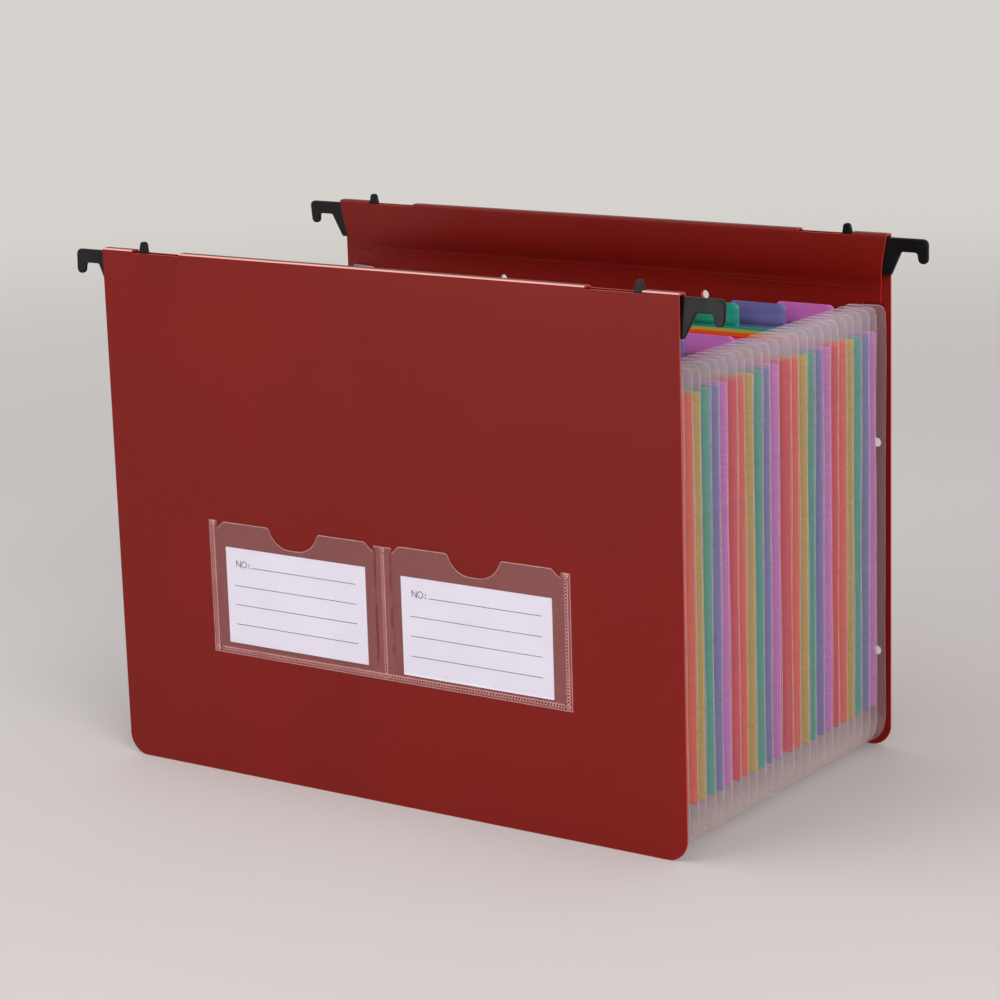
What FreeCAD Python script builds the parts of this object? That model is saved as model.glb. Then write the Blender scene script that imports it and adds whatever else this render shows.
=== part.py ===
import FreeCAD, Part
import math
import os

from FreeCAD import Vector

# Hanging accordion file: two sheet covers with folded hems, a pleated bellows of many pockets between
# them, coloured dividers with staggered tabs, four pull-out rail hooks and a label pocket with two cards.
# Millimetres. X runs along the width, Y from the front cover to the back cover, Z is up from the surface
# that the covers stand on. The origin is the middle of the footprint.

# Covers
WIDTH = 309.0
HEIGHT = 242.0
DEPTH = 184.0
COVER_SHEET = 0.9
COVER_CORNER_R = 10.0

# Hem folded along the top of each cover
HEM_DEPTH = 5.5
CREASE_R = 0.75
FLAP_LENGTH = 46.0
FLAP_INSET = 4.5
FLAP_FOOT_INSET = 13.5
FLAP_GAP = 0.15
WELD_DROP = 24.5
WELD_HEIGHT = 2.4
SWELL_HEIGHT = 7.5

# Slot that a finger tab travels in, measured from the side edge of the cover
SLOT_START = 17.5
SLOT_CUT = 1.2

# Rail hooks
HOOK_SHEET = 1.8
HOOK_TILT = 4.0
HOOK_REACH = 20.2
HOOK_TAIL = 24.5
HOOK_TAIL_DROP = 1.4
HOOK_TOP_GAP = 0.6
HOOK_PLATE = 17.4
HOOK_BAR = 6.3
HOOK_TIP_WIDTH = 5.5
HOOK_TIP_DROP = 11.3
NOTCH_WIDTH = 8.0
NOTCH_R = 1.4
TIP_R = 2.3
SHOULDER_R = 2.6
TAB_WIDTH = 5.6
TAB_RISE = 5.0
TAB_TAPER = 1.2
TAB_TIP_R = 1.5
TAB_END_GAP = 0.2
HOOK_TRAVEL = 22.0
FRONT_LEFT_PUSHED_IN = 2.0

# Bellows film, with the drop of its top below the covers' tops
BELLOWS_INSET = 3.0
BELLOWS_DROP = 33.0
BELLOWS_FOOT = 0.8
BELLOWS_CORNER_R = 13.0
VALLEY_CORNER_R = 4.0
BELLOWS_CORNER_FACETS = 5
FILM = 0.25
FILM_GAP = 0.05
PLEAT_DEPTH = 18.0
PLEAT_TOP_R = 3.0
PLEAT_TOP_FACETS = 3

# Dividers, with the drop of their tops below the covers' tops, and the spacing of the pockets
DIVIDERS = 24
DIVIDER_SHEET = 0.3
DIVIDER_INSET = 0.6
DIVIDER_FOOT = 21.2
DIVIDER_FOOT_CUT = 2.0
DIVIDER_DROP = 44.0
DIVIDER_TOP_CUT = 1.0
FIRST_GAP = 5.8
LAST_GAP = 8.6
GAP_RIPPLE = 0.12
GAP_RIPPLE_STEP = 2.4
ROW_BREAK = 0.5

# Index tabs
TAB_ROWS = 2
INDEX_TAB_WIDTH = 30.0
INDEX_TAB_DROP = 33.4
INDEX_TAB_R = 2.6
INDEX_TAB_MARGIN = 21.0

# Holes punched in the back cover
HOLE_D = 4.2
UPPER_HOLE_X = 57.5
UPPER_HOLE_DROP = 34.5
SIDE_HOLE_INSET = 7.0
SIDE_HOLE_Z = (46.0, 145.0)

# Label pocket on the front cover
LABEL_WIDTH = 197.6
LABEL_FOOT = 58.0
LABEL_TOP = 120.4
LABEL_FILM = 0.25
SIDE_SEAM = 4.4
MIDDLE_SEAM = 9.6
FOOT_SEAM = 4.0
SEAM_TOP_DROP = 1.4
THUMB_WIDTH = 28.4
THUMB_DEPTH = 9.2
THUMB_LIP_R = 1.5
WINDOW_CHAMFER = 4.6
SEAM_NOTCH_DROP = 4.2

# Label cards
CARD_WIDTH = 79.6
CARD_HEIGHT = 45.0
CARD_SHEET = 0.35
CARD_CLEAR = 0.12
LEFT_CARD_LIFT = 1.6
RIGHT_CARD_LIFT = 0.1

# Places worked out from the sizes above
LABEL_SPACE = CARD_SHEET + 2 * CARD_CLEAR
LABEL_PROUD = LABEL_SPACE + LABEL_FILM
HALF_WIDTH = WIDTH / 2
FRONT_FACE = (LABEL_PROUD - DEPTH) / 2
BACK_FACE = FRONT_FACE + DEPTH
BELLOWS_HALF = HALF_WIDTH - BELLOWS_INSET
BELLOWS_TOP = HEIGHT - BELLOWS_DROP
DIVIDER_TOP = HEIGHT - DIVIDER_DROP
INDEX_TAB_TOP = HEIGHT - INDEX_TAB_DROP
BELLOWS_START = FRONT_FACE + COVER_SHEET
BELLOWS_END = BACK_FACE - COVER_SHEET
SLOT_END = SLOT_START + TAB_WIDTH + HOOK_TRAVEL + 2 * TAB_END_GAP
HEM_TOP_INSIDE = HEIGHT - COVER_SHEET


def box(x0, x1, y0, y1, z0, z1):
    """A block between two corners."""
    return Part.makeBox(x1 - x0, y1 - y0, z1 - z0, Vector(x0, y0, z0))


def rounded_wire(corners, y=0.0):
    """A closed outline in an XZ plane. Each corner is (x, z, radius), and a radius of 0 stays sharp."""
    points = [Vector(x, y, z) for x, z, _ in corners]
    starts = []
    ends = []
    middles = []
    for i, (_, _, radius) in enumerate(corners):
        here = points[i]
        back = (points[i - 1] - here).normalize()
        ahead = (points[(i + 1) % len(points)] - here).normalize()
        if radius <= 0:
            starts.append(here)
            ends.append(here)
            middles.append(None)
            continue
        half = back.getAngle(ahead) / 2
        run = radius / math.tan(half)
        bisector = (back + ahead).normalize()
        centre = here + bisector * (radius / math.sin(half))
        starts.append(here + back * run)
        ends.append(here + ahead * run)
        middles.append(centre - bisector * radius)
    edges = []
    for i in range(len(points)):
        if middles[i] is not None:
            edges.append(Part.Arc(starts[i], middles[i], ends[i]).toShape())
        following = starts[(i + 1) % len(points)]
        if (following - ends[i]).Length > 1e-6:
            edges.append(Part.LineSegment(ends[i], following).toShape())
    return Part.Wire(edges)


def sheet(corners, y, thickness):
    """A flat sheet whose outline is the rounded corners, from y towards +Y."""
    return Part.Face(rounded_wire(corners, y)).extrude(Vector(0, thickness, 0))


class FoldPath:
    """The middle line of a folded sheet in the YZ plane, drawn as straight runs and tangent bends."""

    def __init__(self, y, z, heading, thickness):
        self.y = y
        self.z = z
        self.heading = heading
        self.half = thickness / 2
        self.left = []
        self.right = []

    def spot(self, side):
        """The point beside the middle line, side to the left of its heading."""
        a = math.radians(self.heading + 90)
        return Vector(0, self.y + side * math.cos(a), self.z + side * math.sin(a))

    def forward(self, length):
        """A straight run."""
        starts = self.spot(self.half), self.spot(-self.half)
        a = math.radians(self.heading)
        self.y += length * math.cos(a)
        self.z += length * math.sin(a)
        self.left.append(Part.LineSegment(starts[0], self.spot(self.half)).toShape())
        self.right.append(Part.LineSegment(starts[1], self.spot(-self.half)).toShape())

    def bend(self, radius, turn):
        """A bend of the middle line's radius. A turn above 0 is to the left."""
        way = math.copysign(1, turn)
        a = math.radians(self.heading + 90 * way)
        centre = Vector(0, self.y + radius * math.cos(a), self.z + radius * math.sin(a))
        stops = []
        for share in (0.0, 0.5, 1.0):
            b = math.radians(self.heading - 90 * way + turn * share)
            stops.append(Vector(0, math.cos(b), math.sin(b)))
        for side, edges in ((self.half, self.left), (-self.half, self.right)):
            reach = radius - side * way
            edges.append(Part.Arc(*[centre + s * reach for s in stops]).toShape())
        end = centre + stops[2] * radius
        self.y = end.y
        self.z = end.z
        self.heading += turn

    def face(self):
        """The sheet's section between its two offset lines."""
        first = self.left[0].firstVertex().Point, self.right[0].firstVertex().Point
        last = self.spot(self.half), self.spot(-self.half)
        caps = [Part.LineSegment(*first).toShape(), Part.LineSegment(*last).toShape()]
        edges = Part.sortEdges(self.left + self.right + caps)[0]
        return Part.Face(Part.Wire(edges))


def hem_section():
    """The section of a cover: the sheet up to the crease, the flat top, and the flap that swells round
    the hook channel and comes back to the sheet at the weld line."""
    path = FoldPath(COVER_SHEET / 2, 0.0, 90, COVER_SHEET)
    path.forward(HEIGHT - COVER_SHEET / 2 - CREASE_R)
    path.bend(CREASE_R, -90)
    path.forward(HEM_DEPTH - COVER_SHEET - 2 * CREASE_R)
    path.bend(CREASE_R, -90)
    swell_end = HEIGHT - WELD_DROP + WELD_HEIGHT / 2
    path.forward(path.z - swell_end - SWELL_HEIGHT)
    drop = path.y - (1.5 * COVER_SHEET + FLAP_GAP)
    turn = 2 * math.degrees(math.atan2(drop, SWELL_HEIGHT))
    radius = SWELL_HEIGHT / 2 / math.sin(math.radians(turn))
    path.bend(radius, -turn)
    path.bend(radius, turn)
    path.forward(path.z - (HEIGHT - FLAP_LENGTH))
    return path.face()


def flap_trims():
    """The two side pieces that the flap lacks: it narrows from the crease to the weld line, and its foot
    steps in again to leave the first pleat room."""
    weld = HEIGHT - WELD_DROP
    foot = HEIGHT - FLAP_LENGTH - 1
    step = BELLOWS_TOP + 1
    outline = [
        (HALF_WIDTH + 1, HEIGHT - COVER_SHEET - CREASE_R, 0),
        (HALF_WIDTH, HEIGHT - COVER_SHEET - CREASE_R, 0),
        (HALF_WIDTH - FLAP_INSET, weld, 0),
        (HALF_WIDTH - FLAP_INSET, step, 0),
        (HALF_WIDTH - FLAP_FOOT_INSET, step, 0),
        (HALF_WIDTH - FLAP_FOOT_INSET, foot, 0),
        (HALF_WIDTH + 1, foot, 0),
    ]
    start = COVER_SHEET + FLAP_GAP / 2
    right = sheet(outline, start, HEM_DEPTH)
    return [right, right.mirror(Vector(), Vector(1, 0, 0))]


def cover_sheet():
    """A folded cover that stands on Z 0 with its outer face on Y 0 and its hem towards +Y."""
    body = hem_section().extrude(Vector(WIDTH, 0, 0))
    body.translate(Vector(-HALF_WIDTH, 0, 0))
    weld = HEIGHT - WELD_DROP
    half_weld = HALF_WIDTH - FLAP_INSET
    body = body.fuse(
        box(
            -half_weld,
            half_weld,
            COVER_SHEET / 2,
            COVER_SHEET * 1.5 + FLAP_GAP,
            weld - WELD_HEIGHT / 2,
            weld + WELD_HEIGHT / 2,
        )
    )
    cuts = flap_trims()
    for side in (-1, 1):
        ends = sorted((side * (HALF_WIDTH - SLOT_START), side * (HALF_WIDTH - SLOT_END)))
        cuts.append(box(*ends, -1, HEM_DEPTH + 1, HEIGHT - SLOT_CUT, HEIGHT + 1))
    outer = [
        (-HALF_WIDTH, 0, COVER_CORNER_R),
        (HALF_WIDTH, 0, COVER_CORNER_R),
        (HALF_WIDTH, HEIGHT + 1, 0),
        (-HALF_WIDTH, HEIGHT + 1, 0),
    ]
    return body.cut(cuts).common(sheet(outer, -1, HEM_DEPTH + 2))


def half_turned(shape):
    """The shape turned to face the other way about the middle of the covers' outer faces."""
    turned = shape.copy()
    turned.rotate(Vector(), Vector(0, 0, 1), 180)
    return turned


def front_cover():
    """The front cover, with its hem behind it."""
    made = cover_sheet()
    made.translate(Vector(0, FRONT_FACE, 0))
    return made


def back_cover():
    """The back cover, with its hem in front of it and six punched holes."""
    made = half_turned(cover_sheet())
    made.translate(Vector(0, BACK_FACE, 0))
    spots = []
    for side in (-1, 1):
        spots.append((side * UPPER_HOLE_X, HEIGHT - UPPER_HOLE_DROP))
        for z in SIDE_HOLE_Z:
            spots.append((side * (HALF_WIDTH - SIDE_HOLE_INSET), z))
    drills = []
    for x, z in spots:
        start = Vector(x, BACK_FACE + 1, z)
        drills.append(Part.makeCylinder(HOLE_D / 2, HEM_DEPTH, start, Vector(0, -1, 0)))
    return made.cut(drills)


def rail_hook(pushed_in=0.0):
    """A right-hand hook in a hem whose outer face is on Y 0: a plate that lies in the hem, a finger tab
    that stands through the slot, and a notched bar that reaches out over the rail."""
    top = HEM_TOP_INSIDE - HOOK_TOP_GAP
    bar = top - HOOK_BAR
    tip = HALF_WIDTH + HOOK_REACH
    notch_out = tip - HOOK_TIP_WIDTH
    notch_in = notch_out - NOTCH_WIDTH
    tab_out = HALF_WIDTH - SLOT_START - TAB_END_GAP
    tab_in = tab_out - TAB_WIDTH
    tab_top = HEIGHT - SLOT_CUT + TAB_RISE
    outline = [
        (tab_in - HOOK_TAIL, top - HOOK_TAIL_DROP, SHOULDER_R),
        (tab_in, top - HOOK_TAIL_DROP, 0),
        (tab_in + TAB_TAPER, tab_top, TAB_TIP_R),
        (tab_out - TAB_TAPER, tab_top, TAB_TIP_R),
        (tab_out, top, 0),
        (tip, top, SHOULDER_R),
        (tip - 0.4, top - HOOK_TIP_DROP, TIP_R),
        (notch_out + 0.5, top - HOOK_TIP_DROP, TIP_R),
        (notch_out, bar, NOTCH_R),
        (notch_in, bar, NOTCH_R),
        (HALF_WIDTH + 1.2, top - HOOK_PLATE, 1.0),
        (tab_in - HOOK_TAIL, top - HOOK_PLATE, SHOULDER_R),
    ]
    plate = sheet(outline, -HOOK_SHEET / 2, HOOK_SHEET)
    plate.rotate(Vector(0, 0, top - HOOK_PLATE), Vector(1, 0, 0), -HOOK_TILT)
    seat = COVER_SHEET + HOOK_SHEET / 2 + 0.35
    plate.translate(Vector(-pushed_in, seat, 0))
    return plate


def hooks():
    """The four hooks by name, each in its hem."""
    mirrored = Vector(1, 0, 0)
    made = {
        "hook_front_right": rail_hook(),
        "hook_front_left": rail_hook(FRONT_LEFT_PUSHED_IN).mirror(Vector(), mirrored),
        "hook_back_right": half_turned(rail_hook().mirror(Vector(), mirrored)),
        "hook_back_left": half_turned(rail_hook()),
    }
    for name, shape in made.items():
        face = FRONT_FACE if "front" in name else BACK_FACE
        shape.translate(Vector(0, face, 0))
    return made


def panel_planes():
    """The middle planes of the dividers, front to back. The pockets are a little uneven, and the break
    between the two rows of tabs is wider."""
    weights = []
    for i in range(1, DIVIDERS):
        ripple = 1 + GAP_RIPPLE * math.sin(GAP_RIPPLE_STEP * i)
        weights.append(ripple + (ROW_BREAK if i == DIVIDERS // TAB_ROWS else 0))
    room = BELLOWS_END - BELLOWS_START - FIRST_GAP - LAST_GAP
    planes = [BELLOWS_START + FIRST_GAP]
    for weight in weights:
        planes.append(planes[-1] + room * weight / sum(weights))
    return planes


def index_tab_centre(number):
    """The middle of a divider's tab. Each row of tabs steps from the left side to the right."""
    per_row = DIVIDERS // TAB_ROWS
    reach = BELLOWS_HALF - DIVIDER_INSET - INDEX_TAB_MARGIN - INDEX_TAB_WIDTH / 2
    step = 2 * reach / (per_row - 1)
    return -reach + step * (number % per_row)


def divider(number, plane):
    """One coloured sheet with a rounded index tab on its top edge."""
    half = BELLOWS_HALF - DIVIDER_INSET
    left = index_tab_centre(number) - INDEX_TAB_WIDTH / 2
    right = left + INDEX_TAB_WIDTH
    outline = [
        (-half, DIVIDER_FOOT + DIVIDER_FOOT_CUT, 0),
        (DIVIDER_FOOT_CUT - half, DIVIDER_FOOT, 0),
        (half - DIVIDER_FOOT_CUT, DIVIDER_FOOT, 0),
        (half, DIVIDER_FOOT + DIVIDER_FOOT_CUT, 0),
        (half, DIVIDER_TOP - DIVIDER_TOP_CUT, 0),
        (half - DIVIDER_TOP_CUT, DIVIDER_TOP, 0),
        (right, DIVIDER_TOP, 0),
        (right, INDEX_TAB_TOP, INDEX_TAB_R),
        (left, INDEX_TAB_TOP, INDEX_TAB_R),
        (left, DIVIDER_TOP, 0),
        (DIVIDER_TOP_CUT - half, DIVIDER_TOP, 0),
        (-half, DIVIDER_TOP - DIVIDER_TOP_CUT, 0),
    ]
    return sheet(outline, plane - DIVIDER_SHEET / 2, DIVIDER_SHEET)


def pleat_chevron(front, back):
    """The section of one pleat as points (reach, y), where reach runs inwards from the outer fold: film
    that folds in from the front panel to the valley and out to the back panel, with its ends flat on the
    panels."""
    middle = (front + back) / 2
    half_gap = (back - front) / 2
    run = FILM * math.hypot(PLEAT_DEPTH, half_gap) / half_gap
    outer = [(0, front), (PLEAT_DEPTH, middle), (0, back)]
    return outer + [(reach + run, y) for reach, y in reversed(outer)]


def pleat_stations():
    """The way that a pleat goes, as (x, z, valley x, valley z) of its outer fold and of the valley beside
    it: down the right side, round the bottom corner in flat facets, along the foot and up the left side.
    The two folds turn the corner with a radius each."""
    valley_half = BELLOWS_HALF - PLEAT_DEPTH
    valley_foot = BELLOWS_FOOT + PLEAT_DEPTH
    right = [(BELLOWS_HALF, BELLOWS_TOP, valley_half, BELLOWS_TOP)]
    for i in range(BELLOWS_CORNER_FACETS + 1):
        a = math.radians(90 * i / BELLOWS_CORNER_FACETS)
        inwards = 1 - math.cos(a)
        upwards = 1 - math.sin(a)
        x = BELLOWS_HALF - BELLOWS_CORNER_R * inwards
        z = BELLOWS_FOOT + BELLOWS_CORNER_R * upwards
        valley_x = valley_half - VALLEY_CORNER_R * inwards
        right.append((x, z, valley_x, valley_foot + VALLEY_CORNER_R * upwards))
    left = [(-x, z, -valley_x, valley_z) for x, z, valley_x, valley_z in reversed(right)]
    return right + left


def ruled_solid(sections):
    """A solid through a row of like outlines, joined point by point with flat facets."""
    faces = [Part.Face(Part.makePolygon(ring + ring[:1])) for ring in (sections[0], sections[-1])]
    for here, ahead in zip(sections, sections[1:]):
        for i in range(len(here)):
            corners = [here[i - 1], here[i], ahead[i], ahead[i - 1], here[i - 1]]
            faces.append(Part.Face(Part.makePolygon(corners)))
    return Part.Solid(Part.Shell(faces))


def pleat_top_trims(front, back):
    """The two sharp outer corners that a rounded pleat top lacks, cut in flat facets."""
    top = BELLOWS_TOP + 1
    centre_x = BELLOWS_HALF - PLEAT_TOP_R
    centre_z = BELLOWS_TOP - PLEAT_TOP_R
    outline = [Vector(BELLOWS_HALF + 1, front, centre_z)]
    for i in range(PLEAT_TOP_FACETS + 1):
        a = math.radians(90 * i / PLEAT_TOP_FACETS)
        x = centre_x + PLEAT_TOP_R * math.cos(a)
        outline.append(Vector(x, front, centre_z + PLEAT_TOP_R * math.sin(a)))
    outline += [Vector(centre_x, front, top), Vector(BELLOWS_HALF + 1, front, top), outline[0]]
    right = Part.Face(Part.makePolygon(outline)).extrude(Vector(0, back - front, 0))
    return [right, right.mirror(Vector(), Vector(1, 0, 0))]


def pleat(front, back):
    """One pocket's gusset: the chevron carried down one side, along the foot and up the other side, with
    rounded tops."""
    chevron = pleat_chevron(front, back)
    sections = []
    for x, z, valley_x, valley_z in pleat_stations():
        fold = Vector(x, 0, z)
        inwards = (Vector(valley_x, 0, valley_z) - fold) / PLEAT_DEPTH
        sections.append([fold + inwards * reach + Vector(0, y, 0) for reach, y in chevron])
    return ruled_solid(sections).cut(pleat_top_trims(front - 1, back + 1))


def label_pocket():
    """Clear film welded to the front cover along its sides, middle and foot, with two thumb cut-outs."""
    half = LABEL_WIDTH / 2
    outer = FRONT_FACE - LABEL_PROUD
    notch_top = LABEL_TOP - SEAM_NOTCH_DROP
    seam_top = LABEL_TOP - SEAM_TOP_DROP
    middle = MIDDLE_SEAM / 2
    side = half - SIDE_SEAM
    top_edge = []
    for left, right in ((-side, -middle), (middle, side)):
        top_edge += [
            (left, seam_top, 0),
            (left, notch_top, 0.4),
            (left + WINDOW_CHAMFER, LABEL_TOP, 1.0),
            (right - WINDOW_CHAMFER, LABEL_TOP, 1.0),
            (right, notch_top, 0.4),
            (right, seam_top, 0),
        ]
    outline = [(half, LABEL_FOOT, 0), (-half, LABEL_FOOT, 0), (-half, seam_top, 0)]
    outline += top_edge + [(half, seam_top, 0)]
    film = sheet(outline, outer, LABEL_FILM)
    window_middle = (side + middle) / 2
    thumbs = []
    for x in (-window_middle, window_middle):
        thumbs.append(sheet(thumb_outline(x), outer - 1, LABEL_FILM + 1.1))
    film = film.cut(thumbs)
    behind = (outer + LABEL_FILM, FRONT_FACE)
    seams = [
        box(-half, -side, *behind, LABEL_FOOT, seam_top),
        box(-middle, middle, *behind, LABEL_FOOT, seam_top),
        box(side, half, *behind, LABEL_FOOT, seam_top),
        box(-half, half, *behind, LABEL_FOOT, LABEL_FOOT + FOOT_SEAM),
    ]
    return film.fuse(seams).removeSplitter()


def thumb_outline(x):
    """The outline of a thumb cut-out about x: a round bay whose lips curve back to the film's edge."""
    half = THUMB_WIDTH / 2
    floor = LABEL_TOP - THUMB_DEPTH
    over = LABEL_TOP + 2
    return [
        (x - half, over, 0),
        (x - half, LABEL_TOP, THUMB_LIP_R),
        (x - half * 0.72, floor, THUMB_DEPTH * 0.7),
        (x + half * 0.72, floor, THUMB_DEPTH * 0.7),
        (x + half, LABEL_TOP, THUMB_LIP_R),
        (x + half, over, 0),
    ]


def label_card(side):
    """A paper card behind one window of the label pocket. side is -1 for the left one."""
    window = (LABEL_WIDTH / 2 - SIDE_SEAM + MIDDLE_SEAM / 2) / 2
    left = side * window - CARD_WIDTH / 2
    lift = LEFT_CARD_LIFT if side < 0 else RIGHT_CARD_LIFT
    foot = LABEL_FOOT + FOOT_SEAM + lift
    face = FRONT_FACE - CARD_CLEAR
    return box(left, left + CARD_WIDTH, face - CARD_SHEET, face, foot, foot + CARD_HEIGHT)


def build():
    """Every piece by its node name."""
    made = {
        "front_cover": front_cover(),
        "back_cover": back_cover(),
        "label_pocket": label_pocket(),
        "label_card_left": label_card(-1),
        "label_card_right": label_card(1),
    }
    made.update(hooks())
    planes = panel_planes()
    for number, plane in enumerate(planes):
        made[f"divider_{number + 1:02d}"] = divider(number, plane)
    half_sheet = DIVIDER_SHEET / 2
    fronts = [BELLOWS_START] + [p + half_sheet for p in planes]
    backs = [p - half_sheet for p in planes] + [BELLOWS_END]
    for number, (front, back) in enumerate(zip(fronts, backs)):
        made[f"gusset_{number + 1:02d}"] = pleat(front + FILM_GAP, back - FILM_GAP)
    return made


os.makedirs("parts", exist_ok=True)
for name, shape in build().items():
    shape.exportStep(f"parts/{name}.step")
    print(name, "valid", shape.isValid(), "solids", len(shape.Solids), "volume", round(shape.Volume, 1))
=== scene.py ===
"""Looks of a hanging accordion file: covers, hooks, dividers, bellows film, label pocket and cards."""

import logging
import math
from dataclasses import dataclass, field
from enum import Enum

import bmesh
import bpy
import numpy as np
from mathutils import Matrix, Vector


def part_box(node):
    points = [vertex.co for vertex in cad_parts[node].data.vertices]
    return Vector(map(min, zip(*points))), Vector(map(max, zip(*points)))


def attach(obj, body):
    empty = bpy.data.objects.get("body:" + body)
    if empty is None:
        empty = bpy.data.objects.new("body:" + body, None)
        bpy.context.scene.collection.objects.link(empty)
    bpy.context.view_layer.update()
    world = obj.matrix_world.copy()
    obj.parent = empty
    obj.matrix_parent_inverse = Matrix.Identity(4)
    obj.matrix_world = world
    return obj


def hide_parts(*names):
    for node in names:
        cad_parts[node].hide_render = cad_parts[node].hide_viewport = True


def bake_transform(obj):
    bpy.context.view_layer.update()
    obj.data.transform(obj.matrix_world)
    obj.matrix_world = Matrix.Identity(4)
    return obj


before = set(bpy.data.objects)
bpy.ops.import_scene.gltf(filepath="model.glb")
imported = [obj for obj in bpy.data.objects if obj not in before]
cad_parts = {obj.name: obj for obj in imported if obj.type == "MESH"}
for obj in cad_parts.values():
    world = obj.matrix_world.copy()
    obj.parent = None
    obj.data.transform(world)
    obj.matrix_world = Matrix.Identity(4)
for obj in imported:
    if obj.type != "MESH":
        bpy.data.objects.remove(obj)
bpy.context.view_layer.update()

log = logging.getLogger("accordion_file")

MM = 0.001
MERGE_DISTANCE = 2e-6
ROUNDING = 1e-6
BODY_OF_NOISE = (0.3, 0.7)
Colour = tuple[float, float, float, float]
Corner = tuple[float, float, float]


def srgb(red: int, green: int, blue: int) -> Colour:
    """A screen colour of 0 to 255 as the linear colour that a shader takes.

    A screen's value v from 0 to 1 is v / 12.92 in linear light up to 0.04045, and above that
    ((v + 0.055) / 1.055) ^ 2.4.

    Args:
        red, green, blue: the colour as a screen shows it.

    Returns:
        The linear colour with an alpha of 1.
    """
    screen = np.array([red, green, blue]) / 255.0
    linear = np.where(screen <= 0.04045, screen / 12.92, ((screen + 0.055) / 1.055) ** 2.4)
    return (*(float(v) for v in linear), 1.0)


# Meshes


@dataclass
class Shape:
    """Points in millimetres with the faces between them. flat lists the faces that stay flat shaded,
    and slots holds each face's material slot."""

    points: np.ndarray
    faces: list[list[int]]
    flat: set[int] = field(default_factory=set)
    slots: np.ndarray | None = None

    def __post_init__(self) -> None:
        """Gives every face the first slot unless slots were named."""
        if self.slots is None:
            self.slots = np.zeros(len(self.faces), np.int32)

    def moved(self, shift: tuple[float, float, float]) -> "Shape":
        """The same shape somewhere else."""
        return Shape(self.points + np.array(shift), self.faces, self.flat, self.slots)

    def joined(self, other: "Shape") -> "Shape":
        """This shape and another in one, with the other's faces counted on from this one's points."""
        count = len(self.points)
        faces = self.faces + [[i + count for i in face] for face in other.faces]
        flat = self.flat | {i + len(self.faces) for i in other.flat}
        slots = np.concatenate([self.slots, other.slots])
        return Shape(np.vstack([self.points, other.points]), faces, flat, slots)


def grid_faces(rows: int, columns: int, keep: np.ndarray | None = None) -> list[list[int]]:
    """The four-sided faces of a grid of points that is stored row by row.

    Args:
        rows, columns: the number of points each way.
        keep: which cells to keep, as rows - 1 by columns - 1 truths, or all of them.

    Returns:
        One list of four point numbers for each cell. A face goes on along the columns first, so it
        looks along column direction crossed with row direction.
    """
    number = np.arange(rows * columns).reshape(rows, columns)
    cells = np.stack([number[:-1, :-1], number[:-1, 1:], number[1:, 1:], number[1:, :-1]], axis=-1)
    return (cells[keep] if keep is not None else cells.reshape(-1, 4)).tolist()


def spaced(marks: list[float], step: float) -> np.ndarray:
    """Grid lines through all the marks, with even lines between them no further apart than step."""
    runs = [
        np.linspace(a, b, max(1, math.ceil((b - a) / step - ROUNDING)), endpoint=False)
        for a, b in zip(marks, marks[1:])
    ]
    return np.append(np.concatenate(runs), marks[-1])


def unit(vectors: np.ndarray) -> np.ndarray:
    """The vectors of the last axis at length 1."""
    return vectors / np.linalg.norm(vectors, axis=-1, keepdims=True)


def rounded_outline(corners: list[Corner], steps: int = 8) -> np.ndarray:
    """An outline whose corners are turned into arcs that touch both of their sides.

    An arc of radius r in a corner of half angle h has its centre r / sin(h) along the bisector.

    Args:
        corners: each corner as x, z and the radius there, where 0 stays sharp.
        steps: pieces in each arc.

    Returns:
        The points of the outline as n by 2, turning to the left.
    """
    points = np.array([(x, z) for x, z, _ in corners], float)
    runs = []
    for i, (_, _, radius) in enumerate(corners):
        here = points[i]
        if radius <= 0:
            runs.append(here[None])
            continue
        back = unit(points[i - 1] - here)
        ahead = unit(points[(i + 1) % len(points)] - here)
        half = math.acos(float(np.clip(back @ ahead, -1, 1))) / 2
        centre = here + unit(back + ahead) * radius / math.sin(half)
        start = here + back * radius / math.tan(half) - centre
        end = here + ahead * radius / math.tan(half) - centre
        sweep = math.atan2(start[0] * end[1] - start[1] * end[0], float(start @ end))
        angles = math.atan2(start[1], start[0]) + sweep * np.linspace(0, 1, steps + 1)
        runs.append(centre + radius * np.stack([np.cos(angles), np.sin(angles)], axis=1))
    outline = np.vstack(runs)
    x, z = outline.T
    area = float(np.sum(x * np.roll(z, -1) - np.roll(x, -1) * z))
    return outline if area > 0 else outline[::-1]


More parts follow.
